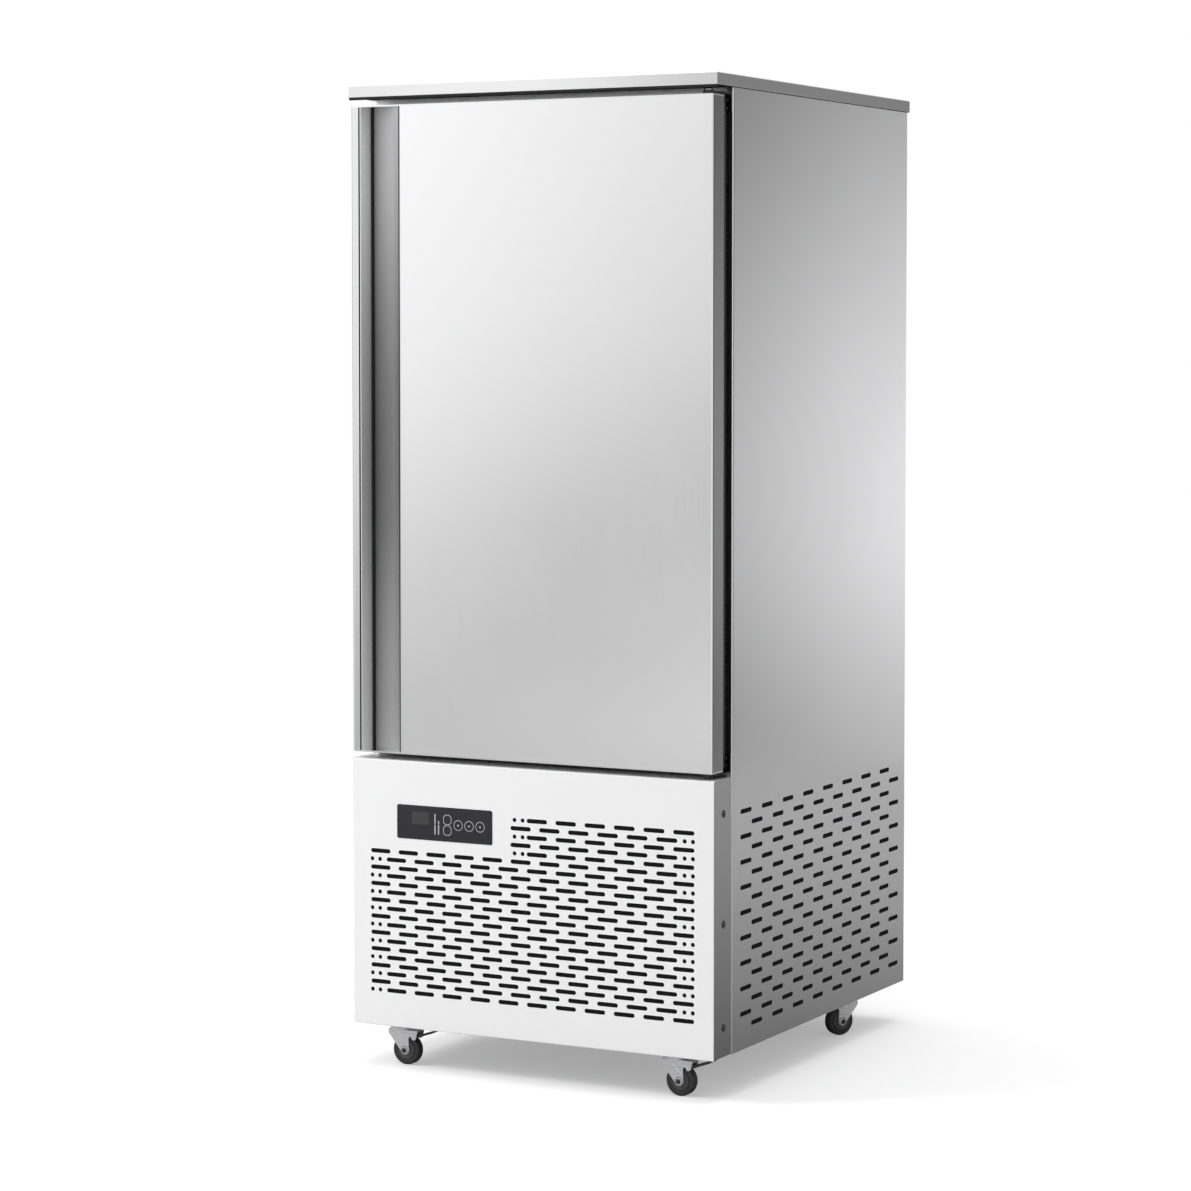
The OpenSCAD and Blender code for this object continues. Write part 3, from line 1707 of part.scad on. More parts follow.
module refrigerant_pipes() {
  comp_top = comp_z + comp_h;
  cond_y = (cond_y0 + cond_y1) / 2;
  side_x = cond_x + cond_half + pipe_bend + 2;
  over_z = recv_z + recv_h + pipe_over;
  low_z = deck_z - pipe_over;
  inlet_y = recv_y - recv_base;
  color("peru") {
    // discharge from the can to the condenser's far end
    tube_run([
      [comp_x, comp_y, comp_top],
      [comp_x, comp_y, comp_top + pipe_rise],
      [side_x, comp_y, comp_top + pipe_rise],
      [side_x, cond_y, comp_top + pipe_rise],
      [cond_x + cond_half, cond_y, comp_top + pipe_rise]
    ], liquid_r, pipe_bend);
    // condenser to receiver
    tube_run([
      [cond_x - cond_half, cond_y, cond_z0 + 2 * cond_pitch],
      [recv_x, cond_y, cond_z0 + 2 * cond_pitch],
      [recv_x, cond_y, over_z],
      [recv_x, inlet_y, over_z],
      [recv_x, inlet_y, recv_z + recv_h]
    ], liquid_r, pipe_bend);
    // receiver to drier
    tube_run([
      [recv_x, drier_y, recv_z + recv_h],
      [recv_x, drier_y, over_z + pipe_over],
      [drier_x, drier_y, over_z + pipe_over],
      [drier_x, drier_y, drier_z + drier_l]
    ], liquid_r, pipe_bend);
    // drier up to the evaporator
    tube_run([
      [drier_x, drier_y, drier_z],
      [drier_x, drier_y, drier_z - pipe_over],
      [-riser_x, drier_y, drier_z - pipe_over],
      [-riser_x, drier_y, low_z],
      [-riser_x, riser_y, low_z],
      [-riser_x, riser_y, riser_z],
      [-coil_w / 2 - 2 * coil_plate, riser_y, riser_z]
    ], liquid_r, pipe_bend);
    // suction from the evaporator down to the can
    tube_run([
      [coil_w / 2 + 2 * coil_plate, riser_y, riser_z],
      [riser_x, riser_y, riser_z],
      [riser_x, riser_y, low_z],
      [riser_x, comp_y, low_z],
      [riser_x, comp_y, comp_z + suction_z],
      [comp_x + comp_r + suction_stub, comp_y, comp_z + suction_z]
    ], suction_r, pipe_bend);
  }
}

// Electrical box: its place and its two legs
box_side = 40;
box_front = 90;
box_up = 90;
box_leg_in = 10;
box_leg_w = 30;
box_knock_r = 8;
box_knock_t = 2;

module electrical_box() {
  x0 = -hx + box_side;
  box_w = recv_x - liquid_r - box_gap - x0;
  y0 = front_y + box_front;
  z0 = floor_z + box_up;
  color("lightgray") {
    difference() {
      block([x0, y0, z0], [x0 + box_w, y0 + box_d, z0 + box_h]);
      for (k = [0.2, 0.5, 0.8])
        translate([x0 + box_w * k, y0 + box_d / 2, z0 - cut])
          cylinder(r = box_knock_r, h = cut + box_knock_t);
    }
    for (x = [x0 + box_leg_in, x0 + box_w - box_leg_in - box_leg_w])
      block([x, y0, floor_z], [x + box_leg_w, y0 + box_d, z0]);
  }
}

melt_r = 14;

module melt_pan() {
  wall = 2;
  half = melt_w / 2;
  color("dimgray")
    translate([0, frame_y + drain_set, floor_z])
      difference() {
        upright(0, melt_h) rounded([-half, -half], [half, half], melt_r);
        upright(wall, melt_h + cut)
          rounded([wall - half, wall - half], [half - wall, half - wall], melt_r - wall);
      }
}

// ---- casters ----

plate_hole = plate_w / 2 - 10;
plate_bolt_r = 4.2;
deck_low = fork_z - fork_t;
axle_z = wheel_d / 2;
brake_x = trail + 20;
brake_z = axle_z + 27;
brake_pin_r = 2;
nut_r = 6.5;
nut_h = 3;

module at_caster(i) {
  translate([caster_xy[i][0], caster_xy[i][1], 0])
    rotate([0, 0, caster_turn[i]])
      children();
}

// Plates with their upper races and king pins; they stay square to the cabinet
module caster_plates() {
  color("silver")
    for (p = caster_xy)
      translate([p[0], p[1], 0]) {
        difference() {
          upright(base_z - plate_t, base_z)
            rounded([-plate_w / 2, -plate_w / 2], [plate_w / 2, plate_w / 2], 6);
          for (sx = [-1, 1], sy = [-1, 1])
            translate([sx * plate_hole, sy * plate_hole, 0])
              cylinder(r = plate_bolt_r, h = base_z + cut);
        }
        rotate_extrude()
          polygon([
            [0, race_split + loose / 2],
            [race_r - 4, race_split + loose / 2],
            [race_r, race_split + 2],
            [race_r, base_z - plate_t - 2],
            [race_r - 2, base_z - plate_t],
            [0, base_z - plate_t]
          ]);
        translate([0, 0, deck_low - 4]) cylinder(r = king_r + 3, h = 4 - loose);
        translate([0, 0, deck_low - 2]) cylinder(r = king_r, h = race_h + fork_t);
      }
}

// Side view of a fork leg: wide at the crown, round at the axle
module leg_profile(braked) {
  top = deck_low + fork_t;
  polygon(outline([
    [-race_r, top - 8, 4],
    [trail - 9, axle_z - 2, 0],
    [trail + 9, axle_z - 2, 0],
    [trail + 8, deck_low - 14, 4],
    [trail + 14, deck_low - 5, 3],
    [braked ? brake_x - 5 : race_r, braked ? brake_z - 1 : deck_low - 4, 0],
    [braked ? brake_x + 6 : race_r, braked ? brake_z + 2 : deck_low, 0],
    [braked ? brake_x + 9 : race_r, top, 0],
    [-race_r, top, 0]
  ]));
  translate([trail, axle_z]) circle(r = 9.5);
  if (braked) translate([brake_x, brake_z]) circle(r = 5.5);
}

module fork(i) {
  braked = i < 2;
  crown = braked ? brake_x + 9 : race_r;
  color("silver")
    at_caster(i) {
      difference() {
        union() {
          for (s = [-1, 1])
            translate([0, s * (fork_half - fork_t / 2), 0])
              rotate([90, 0, 0])
                linear_extrude(fork_t, center = true)
                  leg_profile(braked);
          block([-race_r, -fork_half, deck_low], [crown, fork_half, fork_z]);
          rotate_extrude()
            polygon([
              [0, fork_z - 1],
              [race_r, fork_z - 1],
              [race_r, race_split - 2],
              [race_r - 3, race_split - loose / 2],
              [0, race_split - loose / 2]
            ]);
        }
        translate([0, 0, deck_low - cut]) cylinder(r = king_r + fit, h = race_h + 2 * fork_t);
      }
      // axle bolt with a low head on each side
      translate([trail, 0, axle_z])
        rotate([90, 0, 0]) {
          cylinder(r = axle_r, h = 2 * fork_half, center = true);
          for (s = [-1, 1])
            translate([0, 0, s * (fork_half + nut_h / 2)])
              cylinder(r = nut_r, h = nut_h, center = true, $fn = 6);
        }
      if (braked)
        translate([brake_x, 0, brake_z])
          rotate([90, 0, 0])
            cylinder(r = brake_pin_r, h = 2 * fork_half - fork_t, center = true);
    }
}

module fork_fl() { fork(0); }
module fork_fr() { fork(1); }
module fork_rl() { fork(2); }
module fork_rr() { fork(3); }

// Tyre, dished hub and its bore, revolved: half of the section is given
module wheel(i) {
  r = wheel_d / 2;
  w = wheel_w / 2;
  dish = 4;
  half = [
    [r, w, 4],
    [r * 0.68, w, 1],
    [r * 0.62, w - dish, 1],
    [r * 0.4, w - dish, 1],
    [r * 0.36, w, 1],
    [axle_r + fit, w, 0]
  ];
  color("black")
    at_caster(i)
      translate([trail, 0, axle_z])
        rotate([90, 0, 0])
          rotate_extrude()
            polygon(outline(concat([for (k = [5 : -1 : 0]) [half[k][0], -half[k][1], half[k][2]]], half)));
}

module wheel_fl() { wheel(0); }
module wheel_fr() { wheel(1); }
module wheel_rl() { wheel(2); }
module wheel_rr() { wheel(3); }

// Foot pedal of a front brake, with its pad just clear of the tyre
module brake(i) {
  color("black")
    at_caster(i)
      translate([brake_x, 0, brake_z])
        rotate([90, 0, 0])
          difference() {
            union() {
              cylinder(r = brake_pin_r + 1.2, h = wheel_w, center = true);
              linear_extrude(wheel_w, center = true)
                polygon(outline([
                  [1.5, -2.8, 0],
                  [12, 1, 1],
                  [43, 12, 1],
                  [43, 16, 1],
                  [12, 6, 2],
                  [1.5, 2.8, 0]
                ]));
            }
            cylinder(r = brake_pin_r + fit, h = 2 * wheel_w, center = true);
          }
}

module brake_fl() { brake(0); }
module brake_fr() { brake(1); }

base_frame();
corner_posts();
machine_deck();
left_side_panel();
right_side_panel();
rear_panel();
rear_grille();
worktop();
worktop_core();
cabinet_foam();
chamber_liner();
front_frame();
front_grille_panel();
panel_screws();
controller_housing();
controller_face();
button_left();
button_middle();
button_right();
door_skin();
door_foam();
door_inner_panel();
door_gasket();
door_end_caps();
hinge_brackets();
hinge_bushes();
rack_uprights();
tray_runners();
evaporator_coil();
fan_plate();
fan_guards();
fan_motors();
evaporator_fan_low();
evaporator_fan_mid();
evaporator_fan_high();
drip_tray();
drain_tube();
compressor();
compressor_feet();
condenser_coil();
condenser_shroud();
condenser_motor();
condenser_fan();
liquid_receiver();
filter_drier();
refrigerant_pipes();
electrical_box();
melt_pan();
vent_filters();
caster_plates();
fork_fl();
fork_fr();
fork_rl();
fork_rr();
wheel_fl();
wheel_fr();
wheel_rl();
wheel_rr();
brake_fl();
brake_fr();
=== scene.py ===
import json
import math

import bmesh
import bpy
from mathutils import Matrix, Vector


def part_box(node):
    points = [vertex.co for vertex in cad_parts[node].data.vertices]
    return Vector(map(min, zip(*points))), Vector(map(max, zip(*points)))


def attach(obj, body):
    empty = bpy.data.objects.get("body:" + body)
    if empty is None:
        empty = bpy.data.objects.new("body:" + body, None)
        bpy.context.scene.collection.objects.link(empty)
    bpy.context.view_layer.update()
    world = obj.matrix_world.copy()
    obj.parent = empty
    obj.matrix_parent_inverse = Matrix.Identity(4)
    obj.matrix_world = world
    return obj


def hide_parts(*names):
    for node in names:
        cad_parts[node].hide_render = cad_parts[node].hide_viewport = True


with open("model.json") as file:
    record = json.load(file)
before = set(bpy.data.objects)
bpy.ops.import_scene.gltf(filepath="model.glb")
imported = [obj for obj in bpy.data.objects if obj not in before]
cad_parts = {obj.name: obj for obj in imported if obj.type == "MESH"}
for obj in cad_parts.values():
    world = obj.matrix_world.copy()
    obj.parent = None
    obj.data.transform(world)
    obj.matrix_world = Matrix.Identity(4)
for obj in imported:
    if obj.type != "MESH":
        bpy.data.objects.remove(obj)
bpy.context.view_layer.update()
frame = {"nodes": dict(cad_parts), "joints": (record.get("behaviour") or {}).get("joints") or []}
nodes = frame["nodes"]
joints = {joint["name"]: joint for joint in frame["joints"]}
print("frame loaded:", len(nodes), "nodes")


# helpers for node trees; a value is a socket to link or a fixed number or colour

def rgb(r, g, b):
    return (r, g, b, 1.0)


def feed(tree, socket, value):
    if isinstance(value, bpy.types.NodeSocket):
        tree.links.new(value, socket)
    else:
        socket.default_value = value


def addNode(tree, kind, **values):
    node = tree.nodes.new(kind)
    for name, value in values.items():
        feed(tree, node.inputs[name], value)
    return node


def addMath(tree, operation, first, second):
    node = tree.nodes.new("ShaderNodeMath")
    node.operation = operation
    feed(tree, node.inputs[0], first)
    feed(tree, node.inputs[1], second)
    return node.outputs[0]


def mixColors(tree, factor, first, second, blend="MIX"):
    node = tree.nodes.new("ShaderNodeMix")
    node.data_type = "RGBA"
    node.blend_type = blend
    for place, value in ((0, factor), (6, first), (7, second)):
        feed(tree, node.inputs[place], value)
    return node.outputs[2]


def mixNumbers(tree, factor, first, second):
    node = tree.nodes.new("ShaderNodeMix")
    for place, value in ((0, factor), (2, first), (3, second)):
        feed(tree, node.inputs[place], value)
    return node.outputs[0]


def addRange(tree, value, start, stop, low=0.0, high=1.0, easing="LINEAR"):
    # maps start..stop to low..high
    node = tree.nodes.new("ShaderNodeMapRange")
    node.interpolation_type = easing
    feed(tree, node.inputs["Value"], value)
    feed(tree, node.inputs["From Min"], start)
    feed(tree, node.inputs["From Max"], stop)
    feed(tree, node.inputs["To Min"], low)
    feed(tree, node.inputs["To Max"], high)
    return node.outputs[0]


def fadeOf(tree, value, start, stop):
    return addRange(tree, value, start, stop, easing="SMOOTHSTEP")


def rampOf(tree, value, stops):
    # a smooth curve through (place, tone) stops; the curve holds half of each tone, so tones reach 2
    first, last = stops[0][0], stops[-1][0]
    node = tree.nodes.new("ShaderNodeFloatCurve")
    curve = node.mapping.curves[0]
    node.mapping.use_clip = False
    for place, tone in stops[1:-1]:
        curve.points.new((place - first) / (last - first), tone / 2)
    curve.points[0].location = (0.0, stops[0][1] / 2)
    curve.points[-1].location = (1.0, stops[-1][1] / 2)
    node.mapping.update()
    feed(tree, node.inputs["Value"], addRange(tree, value, first, last))
    return addMath(tree, "MULTIPLY", node.outputs[0], 2.0)


def objectPlace(tree):
    return tree.nodes.new("ShaderNodeTexCoord").outputs["Object"]


# effects that several finishes share: a fine texture over a broad one

def brushTexture(group, place, pattern):
    # noise drawn out along the brushing
    stretch = addNode(group, "ShaderNodeMapping", Vector=place, Scale=pattern)
    lines = addNode(group, "ShaderNodeTexNoise", Vector=stretch.outputs[0], Scale=1.0, Detail=3.0, Roughness=0.6)
    return lines.outputs[0]


def pebbleTexture(group, place, pattern):
    # the skin of mouldings, castings, paint and foam
    return addNode(group, "ShaderNodeTexVoronoi", Vector=place, Scale=pattern).outputs["Distance"]


def makeEffect(name, pattern, fineOf, fineShare, broad, low, high):
    group = bpy.data.node_groups.new(name, "ShaderNodeTree")
    inputs = [pattern, ("Light", "Color", rgb(0.8, 0.8, 0.8)), ("Dark", "Color", rgb(0.7, 0.7, 0.7)),
              ("Smooth", "Float", 0.3), ("Rough", "Float", 0.5)]
    for socketName, kind, value in inputs:
        socket = group.interface.new_socket(socketName, in_out="INPUT", socket_type="NodeSocket" + kind)
        socket.default_value = value
    for socketName, kind in (("Color", "Color"), ("Roughness", "Float"), ("Height", "Float")):
        group.interface.new_socket(socketName, in_out="OUTPUT", socket_type="NodeSocket" + kind)
    given = group.nodes.new("NodeGroupInput").outputs
    result = group.nodes.new("NodeGroupOutput").inputs
    place = objectPlace(group)
    fine = fineOf(group, place, given[0])
    coarse = addNode(group, "ShaderNodeTexNoise", Vector=place, **broad)
    both = addMath(group, "ADD", addMath(group, "MULTIPLY", fine, fineShare),
                   addMath(group, "MULTIPLY", coarse.outputs[0], 1.0 - fineShare))
    feed(group, result["Color"], mixColors(group, both, given["Dark"], given["Light"]))
    feed(group, result["Roughness"], addRange(group, both, low, high, given["Smooth"], given["Rough"]))
    feed(group, result["Height"], fine)
    return group


brushGroup = makeEffect("brushLines", ("Lines", "Vector", (20.0, 20.0, 900.0)), brushTexture,
                        fineShare=0.45, broad=dict(Scale=2.2, Detail=2.0, Roughness=0.5), low=0.3, high=0.7)
grainGroup = makeEffect("pebbleGrain", ("Size", "Float", 900.0), pebbleTexture,
                        fineShare=0.4, broad=dict(Scale=24.0, Detail=4.0, Roughness=0.6), low=0.25, high=0.7)


# finishes

bumps = {"steel": 0.05, "moulded": 0.12, "distance": 0.0004}


def makeFinish(name, group, bump, light, dark, smooth, rough, pattern, metallic, coat=0.0, specular=0.5):
    made = bpy.data.materials.new(name)
    made.use_nodes = True
    tree = made.node_tree
    shader = tree.nodes["Principled BSDF"]
    effect = tree.nodes.new("ShaderNodeGroup")
    effect.node_tree = group
    for place, value in enumerate((pattern, rgb(*light), rgb(*dark), smooth, rough)):
        effect.inputs[place].default_value = value
    height = addNode(tree, "ShaderNodeBump", Strength=bump, Distance=bumps["distance"],
                     Height=effect.outputs["Height"])
    shaderValues = {"Base Color": effect.outputs["Color"], "Roughness": effect.outputs["Roughness"],
                    "Normal": height.outputs[0], "Metallic": metallic, "Coat Weight": coat,
                    "Specular IOR Level": specular}
    for socketName, value in shaderValues.items():
        feed(tree, shader.inputs[socketName], value)
    return made


# brush lines lie along the axis with the small number
upright = (700.0, 700.0, 9.0)
level = (9.0, 9.0, 700.0)
deep = (420.0, 5.0, 420.0)

steel = {
    "doorSteel": dict(light=(0.915, 0.915, 0.925), dark=(0.885, 0.885, 0.895),
                      smooth=0.15, rough=0.19, pattern=upright),
    "sideSteel": dict(light=(0.895, 0.895, 0.91), dark=(0.865, 0.865, 0.88),
                      smooth=0.15, rough=0.19, pattern=upright),
    "topSteel": dict(light=(0.90, 0.90, 0.905), dark=(0.86, 0.86, 0.865),
                     smooth=0.16, rough=0.20, pattern=level),
    "brightSteel": dict(light=(0.93, 0.93, 0.93), dark=(0.82, 0.82, 0.83),
                        smooth=0.12, rough=0.22, pattern=upright),
    "hingeSteel": dict(light=(0.07, 0.07, 0.072), dark=(0.045, 0.045, 0.047),
                       smooth=0.2, rough=0.34, pattern=level),
    "screwSteel": dict(light=(0.15, 0.15, 0.155), dark=(0.09, 0.09, 0.095),
                       smooth=0.2, rough=0.32, pattern=level),
    "doorBackSteel": dict(light=(0.80, 0.80, 0.81), dark=(0.68, 0.68, 0.69),
                          smooth=0.20, rough=0.32, pattern=upright),
    "frameSteel": dict(light=(0.80, 0.80, 0.81), dark=(0.66, 0.66, 0.67),
                       smooth=0.22, rough=0.34, pattern=level),
    "innerSteel": dict(light=(0.80, 0.80, 0.81), dark=(0.66, 0.66, 0.67),
                       smooth=0.22, rough=0.34, pattern=level),
    "zincPlate": dict(light=(0.94, 0.94, 0.95), dark=(0.80, 0.80, 0.82),
                      smooth=0.22, rough=0.36, pattern=level, metallic=0.45),
    "galvanised": dict(light=(0.62, 0.64, 0.66), dark=(0.42, 0.44, 0.46),
                       smooth=0.35, rough=0.5, pattern=deep, metallic=0.9),
    "finMetal": dict(light=(0.80, 0.81, 0.82), dark=(0.58, 0.59, 0.60),
                     smooth=0.28, rough=0.42, pattern=upright),
    "copper": dict(light=(0.86, 0.50, 0.34), dark=(0.62, 0.30, 0.18),
                   smooth=0.22, rough=0.4, pattern=level),
}
moulded = {
    "panelCoat": dict(light=(0.965, 0.965, 0.97), dark=(0.925, 0.925, 0.93),
                      smooth=0.32, rough=0.42, pattern=1400.0),
    "foamCream": dict(light=(0.86, 0.79, 0.56), dark=(0.74, 0.66, 0.42),
                      smooth=0.8, rough=0.95, pattern=500.0),
    # the worktop core's near-black tone is a painted shadow in the gap under the worktop
    "underBoard": dict(light=(0.022, 0.022, 0.023), dark=(0.012, 0.012, 0.013),
                       smooth=0.6, rough=0.8, pattern=300.0, specular=0.12),
    # the vent filter mats' near-black tone is partly their own and partly a painted shadow for the shade inside the
    # machine bay
    "filterMat": dict(light=(0.012, 0.012, 0.012), dark=(0.005, 0.005, 0.005),
                      smooth=0.85, rough=0.98, pattern=420.0, specular=0.12),
    "printGrey": dict(light=(0.52, 0.52, 0.53), dark=(0.40, 0.40, 0.41),
                      smooth=0.5, rough=0.6, pattern=1800.0),
    "hubPlastic": dict(light=(0.085, 0.085, 0.088), dark=(0.055, 0.055, 0.058),
                       smooth=0.3, rough=0.45, pattern=1500.0),
    "displayGlass": dict(light=(0.020, 0.020, 0.023), dark=(0.012, 0.012, 0.014),
                         smooth=0.08, rough=0.16, pattern=1800.0),
    "greyPlastic": dict(light=(0.17, 0.17, 0.18), dark=(0.11, 0.11, 0.12),
                        smooth=0.42, rough=0.6, pattern=1600.0),
    "fanPlastic": dict(light=(0.10, 0.10, 0.105), dark=(0.06, 0.06, 0.065),
                       smooth=0.4, rough=0.55, pattern=1600.0),
    "whiteNylon": dict(light=(0.88, 0.88, 0.85), dark=(0.80, 0.80, 0.77),
                       smooth=0.35, rough=0.5, pattern=1600.0),
    "gasketRubber": dict(light=(0.030, 0.030, 0.031), dark=(0.016, 0.016, 0.017),
                         smooth=0.5, rough=0.7, pattern=1500.0, specular=0.12),
    "tyreRubber": dict(light=(0.045, 0.045, 0.048), dark=(0.025, 0.025, 0.027),
                       smooth=0.45, rough=0.65, pattern=1500.0),
    "blackPaint": dict(light=(0.030, 0.030, 0.032), dark=(0.018, 0.018, 0.020),
                       smooth=0.2, rough=0.34, pattern=700.0, coat=0.3),
}
finish = {}
for name, look in steel.items():
    finish[name] = makeFinish(name, brushGroup, bumps["steel"], **{"metallic": 1.0, **look})
for name, look in moulded.items():
    finish[name] = makeFinish(name, grainGroup, bumps["moulded"], metallic=0.0, **look)
print("finishes made:", len(finish))

dressed = {
    "galvanised": ["base_frame", "corner_posts", "machine_deck", "condenser_shroud", "electrical_box"],
    "sideSteel": ["left_side_panel", "right_side_panel", "rear_panel", "rear_grille"],
    "topSteel": ["worktop"],
    # worktop core in near-black, a painted shadow under the worktop
    "underBoard": ["worktop_core"],
    "foamCream": ["cabinet_foam", "door_foam"],
    "innerSteel": ["chamber_liner", "rack_uprights", "fan_plate", "drip_tray"],
    "frameSteel": ["front_frame"],
    "panelCoat": ["front_grille_panel"],
    "screwSteel": ["panel_screws"],
    "greyPlastic": ["controller_housing", "melt_pan"],
    "displayGlass": ["controller_face", "button_left", "button_middle", "button_right"],
    "doorSteel": ["door_skin"],
    "doorBackSteel": ["door_inner_panel"],
    "gasketRubber": ["door_gasket", "compressor_feet"],
    "brightSteel": ["door_end_caps", "tray_runners", "fan_guards"],
    "hingeSteel": ["hinge_brackets"],
    "whiteNylon": ["hinge_bushes", "drain_tube"],
    "finMetal": ["evaporator_coil", "condenser_coil"],
    "fanPlastic": ["evaporator_fan_low", "evaporator_fan_mid", "evaporator_fan_high", "condenser_fan"],
    "blackPaint": ["fan_motors", "compressor", "condenser_motor", "liquid_receiver", "brake_fl", "brake_fr"],
    "copper": ["filter_drier", "refrigerant_pipes"],
    "zincPlate": ["caster_plates", "fork_fl", "fork_fr", "fork_rl", "fork_rr"],
    "tyreRubber": ["wheel_fl", "wheel_fr", "wheel_rl", "wheel_rr"],
    # vent filters in near-black, partly a painted shadow of the machine bay
    "filterMat": ["vent_filters"],
}
nodeFinish = {nodeName: look for look, names in dressed.items() for nodeName in names}
for nodeName, node in nodes.items():
    chosen = finish[nodeFinish.get(nodeName, "galvanised")]
    if not node.material_slots:
        node.data.materials.append(chosen)
    for place in node.material_slots:
        place.material = chosen
print("nodes dressed")


# regions of a CAD piece that look different, as masks on object coordinates

far = 9.0


def startRegions(look):
    # the material and the x, y and z of its object coordinates
    made = finish[look]
    spot = made.node_tree.nodes.new("ShaderNodeSeparateXYZ")
    feed(made.node_tree, spot.inputs[0], objectPlace(made.node_tree))
    return made, dict(zip("xyz", spot.outputs))


def within(made, spot, **bounds):
    # 1 between the low and high bounds along each axis named, 0 outside
    mask = 1.0
    for axis, (low, high) in bounds.items():
        above = addMath(made.node_tree, "GREATER_THAN", spot[axis], low)
        below = addMath(made.node_tree, "LESS_THAN", spot[axis], high)
        mask = addMath(made.node_tree, "MULTIPLY", mask, addMath(made.node_tree, "MULTIPLY", above, below))
    return mask


def paintRegion(made, mask, color, blend="MULTIPLY", metallic=None, rough=None):
    # lays a tone, and if given another metal share and roughness, over what the finish has so far
    tree = made.node_tree
    shader = tree.nodes["Principled BSDF"]
    if not isinstance(color, bpy.types.NodeSocket):
        color = rgb(color, color, color)
    base = shader.inputs["Base Color"]
    feed(tree, base, mixColors(tree, mask, base.links[0].from_socket, color, blend))
    for socketName, value in (("Metallic", metallic), ("Roughness", rough)):
        if value is not None:
            socket = shader.inputs[socketName]
            before = socket.links[0].from_socket if socket.is_linked else socket.default_value
            feed(tree, socket, mixNumbers(tree, mask, before, value))


# the door's handle channel: a slanted face with painted shade that darkens inward and changes with height, a duller
# lip wall with painted light and shade along it, a painted shadow in the seam, painted shade on the lip's front and
# on the hinge-side edge
doorLow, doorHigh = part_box("door_skin")
channel = {
    "lip": 0.0226, "width": 0.113, "seam": 0.0011, "wallThick": 0.0009, "wallOver": 0.0001, "wallEnd": 0.0035,
    "wallRough": 0.75, "lipFace": 0.0049, "seamWidth": 0.008, "seamDeep": 2.3, "hingeEdge": 0.0006,
    "paintedDepthShade": [(0.0, 0.12), (0.008, 0.24), (0.02, 0.38), (0.04, 0.47), (0.0904, 0.50)],
    "paintedHeightShading": [(0.63, 1.6), (0.9, 1.4), (1.25, 1.3), (1.55, 1.5), (1.75, 1.75), (1.91, 2.0)],
    "paintedWallShading": [(0.63, 1.0), (0.85, 0.97), (1.15, 0.74), (1.45, 0.82), (1.7, 0.98), (1.91, 1.0)],
    "paintedLipShade": 0.85, "paintedSeamShadow": 0.04, "paintedEdgeShade": 0.43,
}
lipX = doorLow.x + channel["lip"]
outerX = doorLow.x + channel["width"]
seamY = doorLow.y + channel["seam"]
made, spot = startRegions("doorSteel")
# painted shade on the slanted face: darker towards the deep corner, and changing with height
paintedDepthShade = rampOf(made.node_tree, spot["x"], [(lipX + place, tone) for place, tone in channel["paintedDepthShade"]])
paintedHeightShading = rampOf(made.node_tree, spot["z"], channel["paintedHeightShading"])
paintRegion(made, within(made, spot, x=(lipX, outerX), y=(seamY, 0.0)),
            addMath(made.node_tree, "MULTIPLY", paintedDepthShade, paintedHeightShading))
# painted light and shade on the lip's wall: brighter at both ends than in the middle
lipWall = within(made, spot, x=(lipX - channel["wallThick"], lipX + channel["wallOver"]),
                 y=(seamY, doorHigh.y - channel["wallEnd"]))
paintRegion(made, lipWall, rampOf(made.node_tree, spot["z"], channel["paintedWallShading"]), "MIX",
            metallic=1.0, rough=channel["wallRough"])
# painted shade on the lip's front face
paintRegion(made, within(made, spot, x=(-far, lipX - channel["lipFace"])), channel["paintedLipShade"])
# painted shadow in the seam at the channel's outer edge
seam = within(made, spot, x=(outerX - channel["seamWidth"], outerX),
              y=(seamY, doorLow.y + channel["seamDeep"] * channel["seam"]))
paintRegion(made, seam, channel["paintedSeamShadow"])
# painted shade on the door's hinge-side edge
paintRegion(made, within(made, spot, x=(doorHigh.x - channel["hingeEdge"], far)), channel["paintedEdgeShade"])

# the worktop: painted shade on the underside, and painted light and shade on each visible face: the front, the top,
# the front rim and the right side
topLow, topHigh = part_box("worktop")
topLook = {
    "underDepth": 0.0009, "paintedUnderShade": 0.018, "underRough": 0.7,
    "browDepth": 0.0007, "paintedBrowShading": [(topLow.x, 0.84), (-0.1, 0.97), (0.1, 0.97), (0.34, 0.82), (topHigh.x, 0.80)],
    "plateDepth": 0.0001, "paintedPlateShade": 0.80, "rimDepth": 0.0012, "paintedRimShade": 0.6,
    "flankDepth": 0.0008, "paintedFlankShade": [(topLow.y, 0.86), (-0.1, 0.68), (topHigh.y, 0.46)],
}
made, spot = startRegions("topSteel")
browY = (-far, topLow.y + topLook["browDepth"])
# painted shade on the worktop's underside
paintRegion(made, within(made, spot, z=(0.0, topLow.z + topLook["underDepth"])), topLook["paintedUnderShade"],
            metallic=0.0, rough=topLook["underRough"])
# painted light and shade along the worktop's front, brighter in the middle
paintRegion(made, within(made, spot, y=browY), rampOf(made.node_tree, spot["x"], topLook["paintedBrowShading"]))
# painted shade on the worktop's top
paintRegion(made, within(made, spot, z=(topHigh.z - topLook["plateDepth"], far)), topLook["paintedPlateShade"])
# painted shade on the worktop's front rim
paintRegion(made, within(made, spot, y=browY, z=(topHigh.z - topLook["rimDepth"], far)), topLook["paintedRimShade"])
# painted shade on the worktop's right side, darker towards the back
paintRegion(made, within(made, spot, x=(topHigh.x - topLook["flankDepth"], far)),
            rampOf(made.node_tree, spot["y"], topLook["paintedFlankShade"]))

# the lower front panel: coat in front, bare steel on the two flanges with painted shade
panelLow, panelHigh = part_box("front_grille_panel")
flange = {"thick": 0.0012, "tone": 0.62, "rough": 0.26}
made, spot = startRegions("panelCoat")
